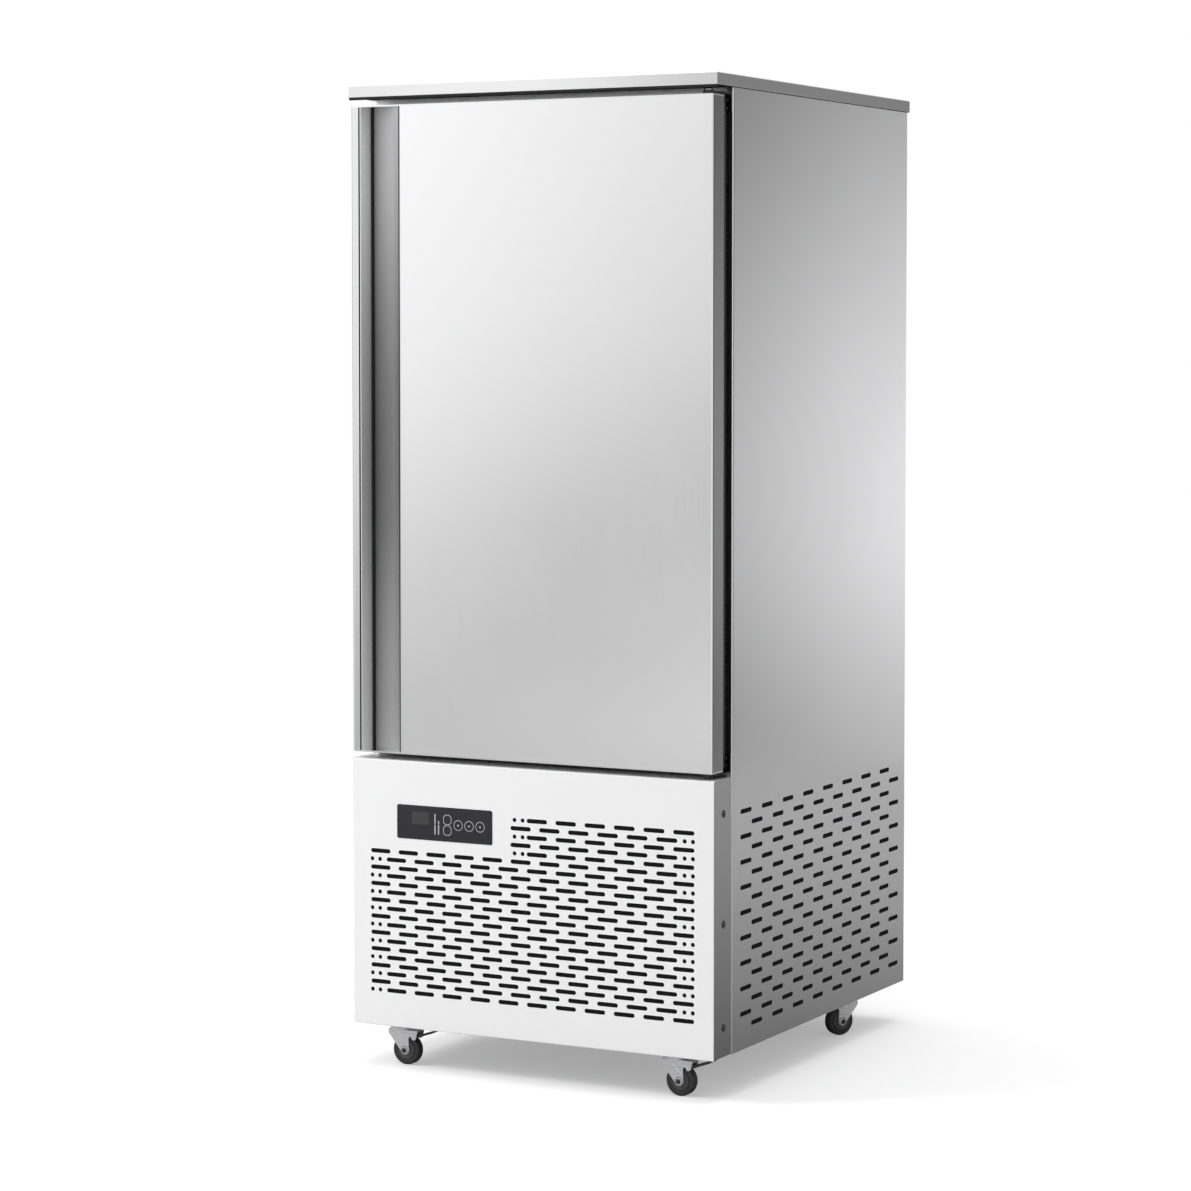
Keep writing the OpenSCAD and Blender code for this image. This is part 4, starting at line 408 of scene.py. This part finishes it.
# the flanges' darker steel tone is painted shade on the panel's sides
for bounds in ((-far, panelLow.x + flange["thick"]), (panelHigh.x - flange["thick"], far)):
    paintRegion(made, within(made, spot, x=bounds), flange["tone"], metallic=1.0, rough=flange["rough"])

# the door's back: a black rim outside the gasket
sealLow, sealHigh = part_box("door_gasket")
doorRim = {"tone": 0.018, "rough": 0.5}
made, spot = startRegions("doorBackSteel")
inside = within(made, spot, x=(sealLow.x, sealHigh.x), z=(sealLow.z, sealHigh.z))
paintRegion(made, addMath(made.node_tree, "SUBTRACT", 1.0, inside), doorRim["tone"],
            metallic=0.0, rough=doorRim["rough"])

# painted shade on the sill's strip in the gap under the door
sill = {"height": 0.016, "tone": 0.04, "rough": 0.6}
made, spot = startRegions("frameSteel")
paintRegion(made, within(made, spot, z=(0.0, doorLow.z + sill["height"])), sill["tone"],
            metallic=0.0, rough=sill["rough"])

# the display's window and a dot on each button
faceLow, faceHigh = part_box("controller_face")
window = {"x": (0.034, 0.072), "down": (0.037, 0.012), "tone": 0.045, "dot": 0.0019, "dotTone": 0.5}
made, spot = startRegions("displayGlass")
pane = within(made, spot, x=[faceLow.x + x for x in window["x"]], z=[faceHigh.z - down for down in window["down"]])
paintRegion(made, pane, window["tone"], "MIX")
buttonNames = ("button_left", "button_middle", "button_right")
for nodeName in buttonNames:
    low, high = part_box(nodeName)
    centre = (low + high) / 2
    near = made.node_tree.nodes.new("ShaderNodeVectorMath")
    near.operation = "DISTANCE"
    feed(made.node_tree, near.inputs[0], objectPlace(made.node_tree))
    near.inputs[1].default_value = (centre.x, low.y, centre.z)
    dot = addMath(made.node_tree, "LESS_THAN", near.outputs["Value"], window["dot"])
    paintRegion(made, dot, window["dotTone"], "MIX")
print("regions painted")


# shared ways to make a piece

sharpFrom = 0.6
weldWithin = 1e-7


def makePiece(name, look, body, build):
    # build fills the form in the frame's metres; faces that meet within sharpFrom radians are smooth
    form = bmesh.new()
    build(form)
    bmesh.ops.remove_doubles(form, verts=form.verts, dist=weldWithin)
    bmesh.ops.recalc_face_normals(form, faces=form.faces)
    for face in form.faces:
        face.smooth = True
    for edge in form.edges:
        edge.smooth = len(edge.link_faces) == 2 and edge.calc_face_angle(0.0) < sharpFrom
    mesh = bpy.data.meshes.new(name)
    form.to_mesh(mesh)
    form.free()
    mesh.materials.append(finish[look])
    piece = bpy.data.objects.new(name, mesh)
    bpy.context.scene.collection.objects.link(piece)
    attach(piece, body)
    return piece


def placeOn(axis, flat, depth):
    # a flat point (a, b) at a depth along the named axis
    a, b = flat
    return {"x": (depth, a, b), "y": (a, depth, b), "z": (a, b, depth)}[axis]


def joinRings(form, first, second):
    for i in range(len(first)):
        form.faces.new((first[i - 1], first[i], second[i], second[i - 1]))


def addBlock(form, first, second):
    # two like outlines as end faces, with sides between them
    form.faces.new(first)
    form.faces.new(second)
    joinRings(form, first, second)


def addPrism(form, axis, outline, low, high):
    addBlock(form, *([form.verts.new(placeOn(axis, point, depth)) for point in outline] for depth in (low, high)))


def addFrame(form, axis, outer, inner, low, high):
    # a flat loop between two outlines with the same number of points
    rings = [[form.verts.new(placeOn(axis, point, depth)) for point in outline]
             for outline, depth in ((outer, low), (outer, high), (inner, high), (inner, low))]
    for k in range(4):
        joinRings(form, rings[k - 1], rings[k])


def addTurned(form, profile, centre, axis, steps=48):
    # a revolved piece; profile points are (radius, height along the axis)
    axis = Vector(axis).normalized()
    aside = axis.orthogonal().normalized()
    closed = profile[0] == profile[-1]
    points = profile[:-1] if closed else profile
    verts = [form.verts.new(Vector(centre) + aside * radius + axis * height) for radius, height in points]
    pairs = zip(verts, verts[1:] + verts[:1])
    edges = [form.edges.new(pair) for pair in pairs if closed or pair[1] is not verts[0]]
    bmesh.ops.spin(form, geom=verts + edges, cent=centre, axis=axis, angle=2.0 * math.pi, steps=steps, use_merge=True)


def raised(profile, by):
    return [(radius, by + height) for radius, height in profile]


def chamfered(x0, x1, z0, z1, cutOff):
    return [(x0 + cutOff, z0), (x1 - cutOff, z0), (x1, z0 + cutOff), (x1, z1 - cutOff),
            (x1 - cutOff, z1), (x0 + cutOff, z1), (x0, z1 - cutOff), (x0, z0 + cutOff)]


def screwHead(radius, height):
    return [(0.0, 0.0), (radius, 0.0), (radius, 0.3 * height), (0.86 * radius, 0.72 * height),
            (0.5 * radius, 0.95 * height), (0.0, height)]


def addCross(form, centre, out, size, height):
    # a screw's recess as a thin dark cross just above the head
    out = Vector(out).normalized()
    u = out.orthogonal().normalized()
    v = out.cross(u)
    arm = 0.28 * size
    flat = [(arm, size), (arm, arm), (size, arm), (size, -arm), (arm, -arm), (arm, -size),
            (-arm, -size), (-arm, -arm), (-size, -arm), (-size, arm), (-arm, arm), (-arm, size)]
    addBlock(form, *([form.verts.new(Vector(centre) + u * a + v * b + out * depth) for a, b in flat]
                     for depth in (0.4 * height, 1.02 * height)))


def makeScrews(name, body, places, out, radius, height):
    def heads(form):
        for place in places:
            addTurned(form, screwHead(radius, height), place, out, steps=24)

    def crosses(form):
        for place in places:
            addCross(form, place, out, 0.55 * radius, height)

    makePiece(name, "brightSteel", body, heads)
    makePiece(name + "Crosses", "blackPaint", body, crosses)


# door: a black strip in the lip's groove and a dark bead in the channel's corner, both painted shadow

groove = {"x0": -0.3825, "x1": -0.3792, "sunk": 0.0012, "deep": 0.0088, "end": 0.0002,
          "shoulder": 0.0010, "inset": 0.0008, "crown": 0.0002}


def buildGrooveShadowStrip(form):
    x0, x1 = groove["x0"], groove["x1"]
    front = doorLow.y + groove["sunk"]
    back = doorLow.y + groove["deep"]
    outline = [(x0, back), (x0, front + groove["shoulder"]), (x0 + groove["inset"], front + groove["crown"]),
               ((x0 + x1) / 2, front), (x1 - groove["inset"], front + groove["crown"]),
               (x1, front + groove["shoulder"]), (x1, back)]
    addPrism(form, "z", outline, doorLow.z + groove["end"], doorHigh.z - groove["end"])


# a black strip in the lip's groove, a painted shadow
makePiece("lipGrooveShadowStrip", "gasketRubber", "door", buildGrooveShadowStrip)

bead = {"reach": 0.0046, "deep": 0.0439, "end": 0.0004, "sink": 0.0001, "slope": -0.4835, "bow": 0.18, "steps": 6}


def buildCornerShadowBead(form):
    # hollow fillet between the lip's wall and the slanted face, dark as a painted shadow in the corner
    x = lipX - bead["sink"]
    y = doorLow.y + bead["deep"]
    slant = Vector((bead["reach"], bead["reach"] * bead["slope"]))
    outline = [(x, y), (x + slant.x, y + slant.y)]
    for k in range(1, bead["steps"]):
        t = k / bead["steps"]
        keep = 1 - bead["bow"] * math.sin(math.pi * t)
        outline.append((x + slant.x * (1 - t) * keep, y + slant.y * (1 - t) * keep - bead["reach"] * t * keep))
    outline.append((x, y - bead["reach"]))
    addPrism(form, "z", outline, doorLow.z + bead["end"], doorHigh.z - bead["end"])


# a dark bead in the channel's deep corner, a painted shadow
makePiece("channelCornerShadowBead", "gasketRubber", "door", buildCornerShadowBead)

foldShadowStrip = {"side": 0.0006, "front": 0.0006, "thick": 0.003, "hang": 0.0046, "tuck": 0.0008, "corner": 0.0012}


def buildFoldShadowStrip(form):
    # black strip under the worktop's front fold, a painted shadow under the fold
    z0, z1 = topLow.z - foldShadowStrip["hang"], topLow.z + foldShadowStrip["tuck"]
    y0 = topLow.y + foldShadowStrip["front"]
    y1 = y0 + foldShadowStrip["thick"]
    cut = foldShadowStrip["corner"]
    outline = [(y0, z1), (y0, z0 + cut), (y0 + cut / 3, z0 + cut / 3), (y0 + cut, z0), (y1, z0), (y1, z1)]
    addPrism(form, "x", outline, topLow.x + foldShadowStrip["side"], topHigh.x - foldShadowStrip["side"])


# a black strip under the worktop's front, a painted shadow
makePiece("worktopFoldShadowStrip", "gasketRubber", "cabinet", buildFoldShadowStrip)

# controller: two bars and two stacked loops for the digits, a ring round each button

display = {"raise": 0.00018, "sink": 0.0002, "stroke": 0.0013, "bar": 0.0026, "loop": 0.0186, "cut": 0.0046,
           "bars": (0.0856, 0.0938), "loops": 0.1055, "low": 0.012, "middle": 0.0325, "high": 0.053,
           "short": 0.040, "break": 0.0006, "barCut": 0.0008, "innerCut": 0.0005}


def buildDigits(form):
    y0, y1 = faceLow.y - display["raise"], faceLow.y + display["sink"]
    low, middle, high, short = (faceLow.z + display[key] for key in ("low", "middle", "high", "short"))
    lowerEnd, upperStart = middle - display["break"], middle + display["break"]
    for start, top in zip(display["bars"], (high, short)):
        x0 = faceLow.x + start
        for z0, z1 in ((low, lowerEnd), (upperStart, top)):
            addPrism(form, "y", chamfered(x0, x0 + display["bar"], z0, z1, display["barCut"]), y0, y1)
    x0 = faceLow.x + display["loops"]
    x1 = x0 + display["loop"]
    thin, cutOff = display["stroke"], display["cut"]
    for z0, z1 in ((low, lowerEnd), (upperStart, high)):
        addFrame(form, "y", chamfered(x0, x1, z0, z1, cutOff),
                 chamfered(x0 + thin, x1 - thin, z0 + thin, z1 - thin, cutOff - display["innerCut"]), y0, y1)


makePiece("displayDigits", "printGrey", "cabinet", buildDigits)

buttonRing = [(0.0091, -0.0003), (0.0091, 0.00022), (0.0094, 0.0003), (0.0100, 0.0003), (0.0104, 0.0001),
              (0.0104, -0.0003), (0.0091, -0.0003)]


def buildRings(form):
    for nodeName in buttonNames:
        low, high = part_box(nodeName)
        centre = (low + high) / 2
        addTurned(form, buttonRing, (centre.x, faceLow.y, centre.z), (0.0, -1.0, 0.0))


makePiece("buttonRings", "printGrey", "cabinet", buildRings)
print("door and controller detailed")

# casters: hub covers, bolt ends, washers and pressed ribs; profile heights count from the wheel's side,
# the nut's face and the fork's leg

caster = {
    "wheelHalf": 0.010, "forkHalf": 0.0141, "nut": 0.003, "top": 0.0745,
    "hub": [(0.0050, -0.0001), (0.0050, 0.0007), (0.0082, 0.0007), (0.0092, 0.0003), (0.0136, 0.0002),
            (0.0146, 0.0006), (0.0180, 0.0006), (0.0192, 0.0002), (0.0192, -0.0001), (0.0050, -0.0001)],
    "boltEnd": [(0.0, -0.0002), (0.0052, -0.0002), (0.0052, 0.0004), (0.0044, 0.0011), (0.0030, 0.0013),
                (0.0, 0.0013)],
    "washer": [(0.0068, -0.0001), (0.0068, 0.0009), (0.0088, 0.0009), (0.0092, 0.0004), (0.0092, -0.0001),
               (0.0068, -0.0001)],
}
rib = {"fromTop": 0.010, "lead": 0.15, "fromAxle": 0.013, "sink": 0.0002, "half": 0.0034, "rise": 0.0013,
       "steps": 14, "points": 9, "least": 0.12, "blunt": 8}


def detailCaster(corner):
    swivel = joints["caster_" + corner + "_swivel"]["pos_m"]
    axle = Vector(joints["wheel_" + corner + "_roll"]["pos_m"])
    axis = Vector(joints["wheel_" + corner + "_roll"]["axis"]).normalized()
    trail = Vector((axle.x - swivel[0], axle.y - swivel[1], 0.0))

    def turnedPair(name, look, body, profile, rise, steps):
        def build(form):
            for sign in (-1.0, 1.0):
                addTurned(form, raised(profile, rise), axle, axis * sign, steps=steps)

        makePiece(name + "_" + corner, look, body + "_" + corner, build)

    def buildRibs(form):
        # a pressed rib along each fork leg, from under the crown to the axle
        top = Vector((swivel[0], swivel[1], caster["top"] - rib["fromTop"])) + trail * rib["lead"]
        foot = Vector((axle.x, axle.y, axle.z + rib["fromAxle"]))
        run = (foot - top).normalized()
        for sign in (-1.0, 1.0):
            out = axis * sign
            cross = out.cross(run)
            rings = []
            for k in range(rib["steps"] + 1):
                t = k / rib["steps"]
                swell = max(math.sqrt(max(0.0, 1.0 - (2.0 * t - 1.0) ** rib["blunt"])), rib["least"])
                spine = top.lerp(foot, t) + out * (caster["forkHalf"] - rib["sink"])
                ring = []
                for j in range(rib["points"]):
                    angle = math.pi * j / (rib["points"] - 1)
                    ring.append(form.verts.new(spine + cross * math.cos(angle) * rib["half"] * swell
                                               + out * math.sin(angle) * rib["rise"] * swell))
                rings.append(ring)
            for first, second in zip(rings, rings[1:]):
                joinRings(form, first, second)
            form.faces.new(rings[0])
            form.faces.new(rings[-1])

    turnedPair("hub", "hubPlastic", "wheel", caster["hub"], caster["wheelHalf"], 48)
    turnedPair("boltEnds", "blackPaint", "fork", caster["boltEnd"], caster["forkHalf"] + caster["nut"], 32)
    turnedPair("boltWashers", "brightSteel", "fork", caster["washer"], caster["forkHalf"], 32)
    makePiece("forkRib_" + corner, "zincPlate", "fork_" + corner, buildRibs)


for corner in ("fl", "fr", "rl", "rr"):
    detailCaster(corner)
print("casters detailed")

# fans with cambered, swept blades in place of the flat ones

fanBlade = {
    "count": 5, "sweep": 0.55, "sweepPower": 1.4, "chordRoot": 0.052, "chordTip": 0.098, "camber": 0.0045,
    "half": 0.0009, "rows": 11, "columns": 9, "hubLap": 0.0025, "tipGap": 0.0015, "back": 0.0015,
    "tipFrom": 0.82, "tipCut": 0.30, "shallow": 0.006, "pitchRoot": 0.98, "pitchLoss": 0.30,
    "camberLoss": 0.4, "edgeThin": 1.2,
}


def hubProfile(hub, half, shaft):
    # a cup with a sleeve for the shaft
    return [(shaft, -half), (0.78 * hub, -half), (0.93 * hub, -half + 0.0012), (hub, -half + 0.005), (hub, half),
            (hub - 0.002, half), (hub - 0.002, -half + 0.006), (0.76 * hub, -half + 0.003),
            (shaft + 0.006, -half + 0.003), (shaft + 0.006, half - 0.006), (shaft, half - 0.006), (shaft, -half)]


def bladePoint(centre, radius, hub, depth, start, offset, t, c):
    # t runs from root to tip, c from -0.5 to 0.5 along the chord, offset is half the thickness with its sign
    blade = fanBlade
    reach = hub - blade["hubLap"] + t * (radius - blade["tipGap"] - hub + blade["hubLap"])
    chord = blade["chordRoot"] + (blade["chordTip"] - blade["chordRoot"]) * t
    chord *= 1.0 - blade["tipCut"] * max(0.0, (t - blade["tipFrom"]) / (1.0 - blade["tipFrom"])) ** 2
    angle = start + blade["sweep"] * t ** blade["sweepPower"] + c * chord / reach
    rise = c * (depth - blade["shallow"]) * (blade["pitchRoot"] - blade["pitchLoss"] * t)
    rise += blade["camber"] * (1.0 - 4.0 * c * c) * (1.0 - blade["camberLoss"] * t)
    rise += offset * (1.0 - blade["edgeThin"] * c * c)
    return (centre.x + reach * math.cos(angle), centre.y + rise - blade["back"], centre.z + reach * math.sin(angle))


def buildFan(form, centre, radius, hub, depth, shaft):
    addTurned(form, hubProfile(hub, depth / 2, shaft), centre, (0.0, 1.0, 0.0), steps=64)
    rows, columns = fanBlade["rows"], fanBlade["columns"]
    border = [(0, j) for j in range(columns)] + [(i, columns - 1) for i in range(1, rows)]
    border += [(rows - 1, j) for j in range(columns - 2, -1, -1)] + [(i, 0) for i in range(rows - 2, 0, -1)]
    for blade in range(fanBlade["count"]):
        start = 2.0 * math.pi * blade / fanBlade["count"]
        front, back = ([[form.verts.new(bladePoint(centre, radius, hub, depth, start, offset,
                                                   i / (rows - 1), j / (columns - 1) - 0.5))
                         for j in range(columns)] for i in range(rows)]
                       for offset in (-fanBlade["half"], fanBlade["half"]))
        for sheet in (front, back):
            for i in range(rows - 1):
                for j in range(columns - 1):
                    form.faces.new((sheet[i][j], sheet[i][j + 1], sheet[i + 1][j + 1], sheet[i + 1][j]))
        for (i, j), (k, l) in zip(border, border[1:] + border[:1]):
            form.faces.new((front[i][j], front[k][l], back[k][l], back[i][j]))


fanSizes = {"evaporator": dict(radius=0.127, hub=0.046, depth=0.030, shaft=0.00405),
            "condenser": dict(radius=0.150, hub=0.052, depth=0.032, shaft=0.00405)}
for name in ("evaporator_fan_low", "evaporator_fan_mid", "evaporator_fan_high", "condenser_fan"):
    centre = Vector(joints[name + "_spin"]["pos_m"])
    sizes = fanSizes[name.split("_")[0]]
    piece = makePiece(name + "_blades", "fanPlastic", name, lambda form: buildFan(form, centre, **sizes))
    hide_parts(name)
print("fans made")

# screws of the back and the hinge, the hinge pin's head, washers under the panel's screws

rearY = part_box("rear_panel")[1].y
rearScrew = {
    "radius": 0.0046, "height": 0.0012, "side": 0.376, "rowHeights": (0.645, 1.900),
    "panelHeights": (0.645, 0.885, 1.125, 1.365, 1.605, 1.845), "across": (-0.25, -0.125, 0.0, 0.125, 0.25),
    "grilleHeights": (0.105, 0.345, 0.585), "grilleAcross": (-0.19, 0.0, 0.19),
}
sides = (-rearScrew["side"], rearScrew["side"])
rearFlat = [(x, z) for x in sides for z in rearScrew["panelHeights"]]
rearFlat += [(x, z) for x in rearScrew["across"] for z in rearScrew["rowHeights"]]
rearFlat += [(x, z) for x in sides for z in rearScrew["grilleHeights"]]
rearFlat += [(x, rearScrew["grilleHeights"][0]) for x in rearScrew["grilleAcross"]]
makeScrews("rearScrews", "cabinet", [(x, rearY, z) for x, z in rearFlat], (0.0, 1.0, 0.0),
           rearScrew["radius"], rearScrew["height"])

legLow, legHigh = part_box("hinge_brackets")
legScrew = {"radius": 0.0042, "height": 0.0022, "x": 0.386, "y": -0.3885, "fromEnd": (0.0174, 0.0318)}
legHeights = [legLow.z + up for up in legScrew["fromEnd"]] + [legHigh.z - down for down in legScrew["fromEnd"]]
makeScrews("hingeScrews", "cabinet", [(legScrew["x"], legScrew["y"], z) for z in legHeights], (0.0, -1.0, 0.0),
           legScrew["radius"], legScrew["height"])

pinHead = [(0.0, 0.0), (0.0085, 0.0), (0.0085, 0.0012), (0.0072, 0.0026), (0.0040, 0.0036), (0.0, 0.0038)]


def buildPinHead(form):
    # the upper hinge pin's domed head, on top of its bracket
    pivot = joints["door_hinge"]["pos_m"]
    addTurned(form, pinHead, (pivot[0], pivot[1], legHigh.z), (0.0, 0.0, 1.0), steps=36)


makePiece("hingePinHead", "brightSteel", "cabinet", buildPinHead)

panelWasher = {
    "heights": (0.142, 0.340, 0.551),
    "profile": [(0.0054, 0.0), (0.0054, 0.0007), (0.0072, 0.0007), (0.0078, 0.0003), (0.0078, 0.0), (0.0054, 0.0)],
}


def buildWashers(form):
    low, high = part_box("panel_screws")
    for side in (-1.0, 1.0):
        for up in panelWasher["heights"]:
            place = (side * panelHigh.x, (low.y + high.y) / 2, up)
            addTurned(form, panelWasher["profile"], place, (side, 0.0, 0.0), steps=32)


makePiece("panelWashers", "blackPaint", "cabinet", buildWashers)
print("screws made")


# camera and lamps

cameraView = {"lens": 103.61, "sensor": 36.0, "place": (3.1935, -6.2562, 1.4611), "turn": 27.836, "dip": 2.788,
              "shiftX": 0.0043, "shiftY": -0.08, "clipEnd": 100.0}
camera = bpy.data.objects.new("camera", bpy.data.cameras.new("camera"))
bpy.context.scene.collection.objects.link(camera)
camera.data.lens = cameraView["lens"]
camera.data.sensor_width = cameraView["sensor"]
camera.data.shift_x = cameraView["shiftX"]
camera.data.shift_y = cameraView["shiftY"]
camera.data.clip_end = cameraView["clipEnd"]
camera.location = cameraView["place"]
camera.rotation_euler = (math.radians(90.0 - cameraView["dip"]), 0.0, math.radians(cameraView["turn"]))
bpy.context.scene.camera = camera
bpy.context.scene.view_settings.view_transform = "Standard"


def makeLamp(name, place, aim, size, power):
    lamp = bpy.data.objects.new(name, bpy.data.lights.new(name, "AREA"))
    bpy.context.scene.collection.objects.link(lamp)
    lamp.data.shape = "RECTANGLE"
    lamp.data.size, lamp.data.size_y = size
    lamp.data.energy = power
    lamp.location = place
    lamp.rotation_euler = (Vector(aim) - Vector(place)).to_track_quat("-Z", "Y").to_euler()


lamps = {
    "keyLamp": dict(place=(-4.6, -3.4, 4.4), aim=(0.0, 0.0, 1.0), size=(2.4, 2.4), power=215.0),
    "topLamp": dict(place=(0.4, 0.4, 5.6), aim=(0.0, 0.0, 0.0), size=(4.0, 4.0), power=110.0),
}
for name, lamp in lamps.items():
    makeLamp(name, **lamp)

# the studio is white where it is seen; metal mirrors soft cards: a pale one in front that fades towards
# the horizon, a dark one behind on the right and a dark one on the left
studio = {
    "ambient": 0.55,
    "front": [(-1.0, 0.60), (-0.30, 0.90), (-0.155, 0.92), (-0.115, 0.62), (-0.085, 0.36), (-0.064, 0.36),
              (-0.045, 0.62), (-0.03, 0.86), (0.02, 1.05), (1.0, 1.05)],
    "frontSide": [(0.40, 0.72), (0.49, 0.78), (0.60, 1.0), (0.80, 1.0)],
    "back": [(-1.0, 0.50), (-0.25, 0.20), (-0.16, 0.28), (-0.118, 0.45), (-0.09, 0.58), (-0.05, 0.74),
             (-0.02, 0.69), (0.017, 0.565), (0.06, 0.40), (0.12, 0.26), (0.30, 0.52), (1.0, 0.95)],
    "backSide": [(0.30, 1.65), (0.42, 1.38), (0.45, 1.03), (0.473, 0.79), (0.49, 0.45), (0.56, 0.25)],
    "left": [(-1.0, 0.5), (-0.10, 0.38), (-0.03, 0.22), (0.05, 0.50), (1.0, 1.0)],
    "tilt": 0.36, "tiltAbout": 0.54, "upperFade": (-0.09, 0.0), "backFade": (-0.15, 0.15),
    "leftFade": (-0.80, -0.97),
}
world = bpy.data.worlds.new("studio")
world.use_nodes = True
bpy.context.scene.world = world
tree = world.node_tree
sky = tree.nodes["Background"]
toward = tree.nodes.new("ShaderNodeSeparateXYZ")
feed(tree, toward.inputs[0], tree.nodes.new("ShaderNodeTexCoord").outputs["Generated"])
across, along, height = toward.outputs
side = addMath(tree, "DIVIDE", across, along)
tilted = addMath(tree, "MULTIPLY", addMath(tree, "SUBTRACT", side, studio["tiltAbout"]), studio["tilt"])
leaning = addMath(tree, "ADD", height, tilted)
upper = fadeOf(tree, leaning, *studio["upperFade"])
frontTone = addMath(tree, "MULTIPLY", rampOf(tree, leaning, studio["front"]),
                    mixNumbers(tree, upper, 1.0, rampOf(tree, side, studio["frontSide"])))
backTone = addMath(tree, "MULTIPLY", rampOf(tree, height, studio["back"]), rampOf(tree, side, studio["backSide"]))
tone = mixNumbers(tree, fadeOf(tree, along, *studio["backFade"]), frontTone, backTone)
leftward = fadeOf(tree, across, *studio["leftFade"])
tone = mixNumbers(tree, leftward, tone, rampOf(tree, height, studio["left"]))
rays = tree.nodes.new("ShaderNodeLightPath").outputs
seen = addMath(tree, "MAXIMUM", rays["Is Camera Ray"], rays["Is Transmission Ray"])
lit = mixNumbers(tree, rays["Is Glossy Ray"], studio["ambient"], tone)
feed(tree, sky.inputs["Strength"], mixNumbers(tree, seen, lit, 1.0))
sky.inputs["Color"].default_value = rgb(1.0, 1.0, 1.0)

# pale floor that keeps the shadow and runs out into the white
floorLook = {"radius": 5.0, "segments": 96, "fadeFrom": 1.6, "fadeTo": 3.4, "tone": 0.86, "lift": 0.34,
             "rough": 0.9, "specular": 0.1,
             "mirrored": [(0.4, 0.22), (1.3, 0.30), (2.4, 0.40), (3.6, 0.50), (5.0, 0.55)]}
floorMesh = bpy.data.meshes.new("floor")
disc = bmesh.new()
bmesh.ops.create_circle(disc, cap_ends=True, segments=floorLook["segments"], radius=floorLook["radius"])
disc.to_mesh(floorMesh)
disc.free()
floor = bpy.data.objects.new("floor", floorMesh)
bpy.context.scene.collection.objects.link(floor)
floorPaint = bpy.data.materials.new("floorPaint")
floorPaint.use_nodes = True
tree = floorPaint.node_tree
shader = tree.nodes["Principled BSDF"]
shader.inputs["Roughness"].default_value = floorLook["rough"]
shader.inputs["Specular IOR Level"].default_value = floorLook["specular"]
shader.inputs["Emission Color"].default_value = rgb(1.0, 1.0, 1.0)
rays = tree.nodes.new("ShaderNodeLightPath").outputs
feed(tree, shader.inputs["Emission Strength"], addMath(tree, "MULTIPLY", rays["Is Camera Ray"], floorLook["lift"]))
away = tree.nodes.new("ShaderNodeVectorMath")
away.operation = "LENGTH"
feed(tree, away.inputs[0], objectPlace(tree))
distance = away.outputs["Value"]
# steel near the floor mirrors a darker floor than the one that is seen
mirrored = rampOf(tree, distance, floorLook["mirrored"])
feed(tree, shader.inputs["Base Color"], mixNumbers(tree, rays["Is Glossy Ray"], floorLook["tone"], mirrored))
glow = addNode(tree, "ShaderNodeEmission", Strength=1.0)
outward = addMath(tree, "MULTIPLY", fadeOf(tree, distance, floorLook["fadeFrom"], floorLook["fadeTo"]),
                  rays["Is Camera Ray"])
blendOut = tree.nodes.new("ShaderNodeMixShader")
for place, value in enumerate((outward, shader.outputs[0], glow.outputs[0])):
    feed(tree, blendOut.inputs[place], value)
feed(tree, tree.nodes["Material Output"].inputs["Surface"], blendOut.outputs[0])
floorMesh.materials.append(floorPaint)
print("studio set")
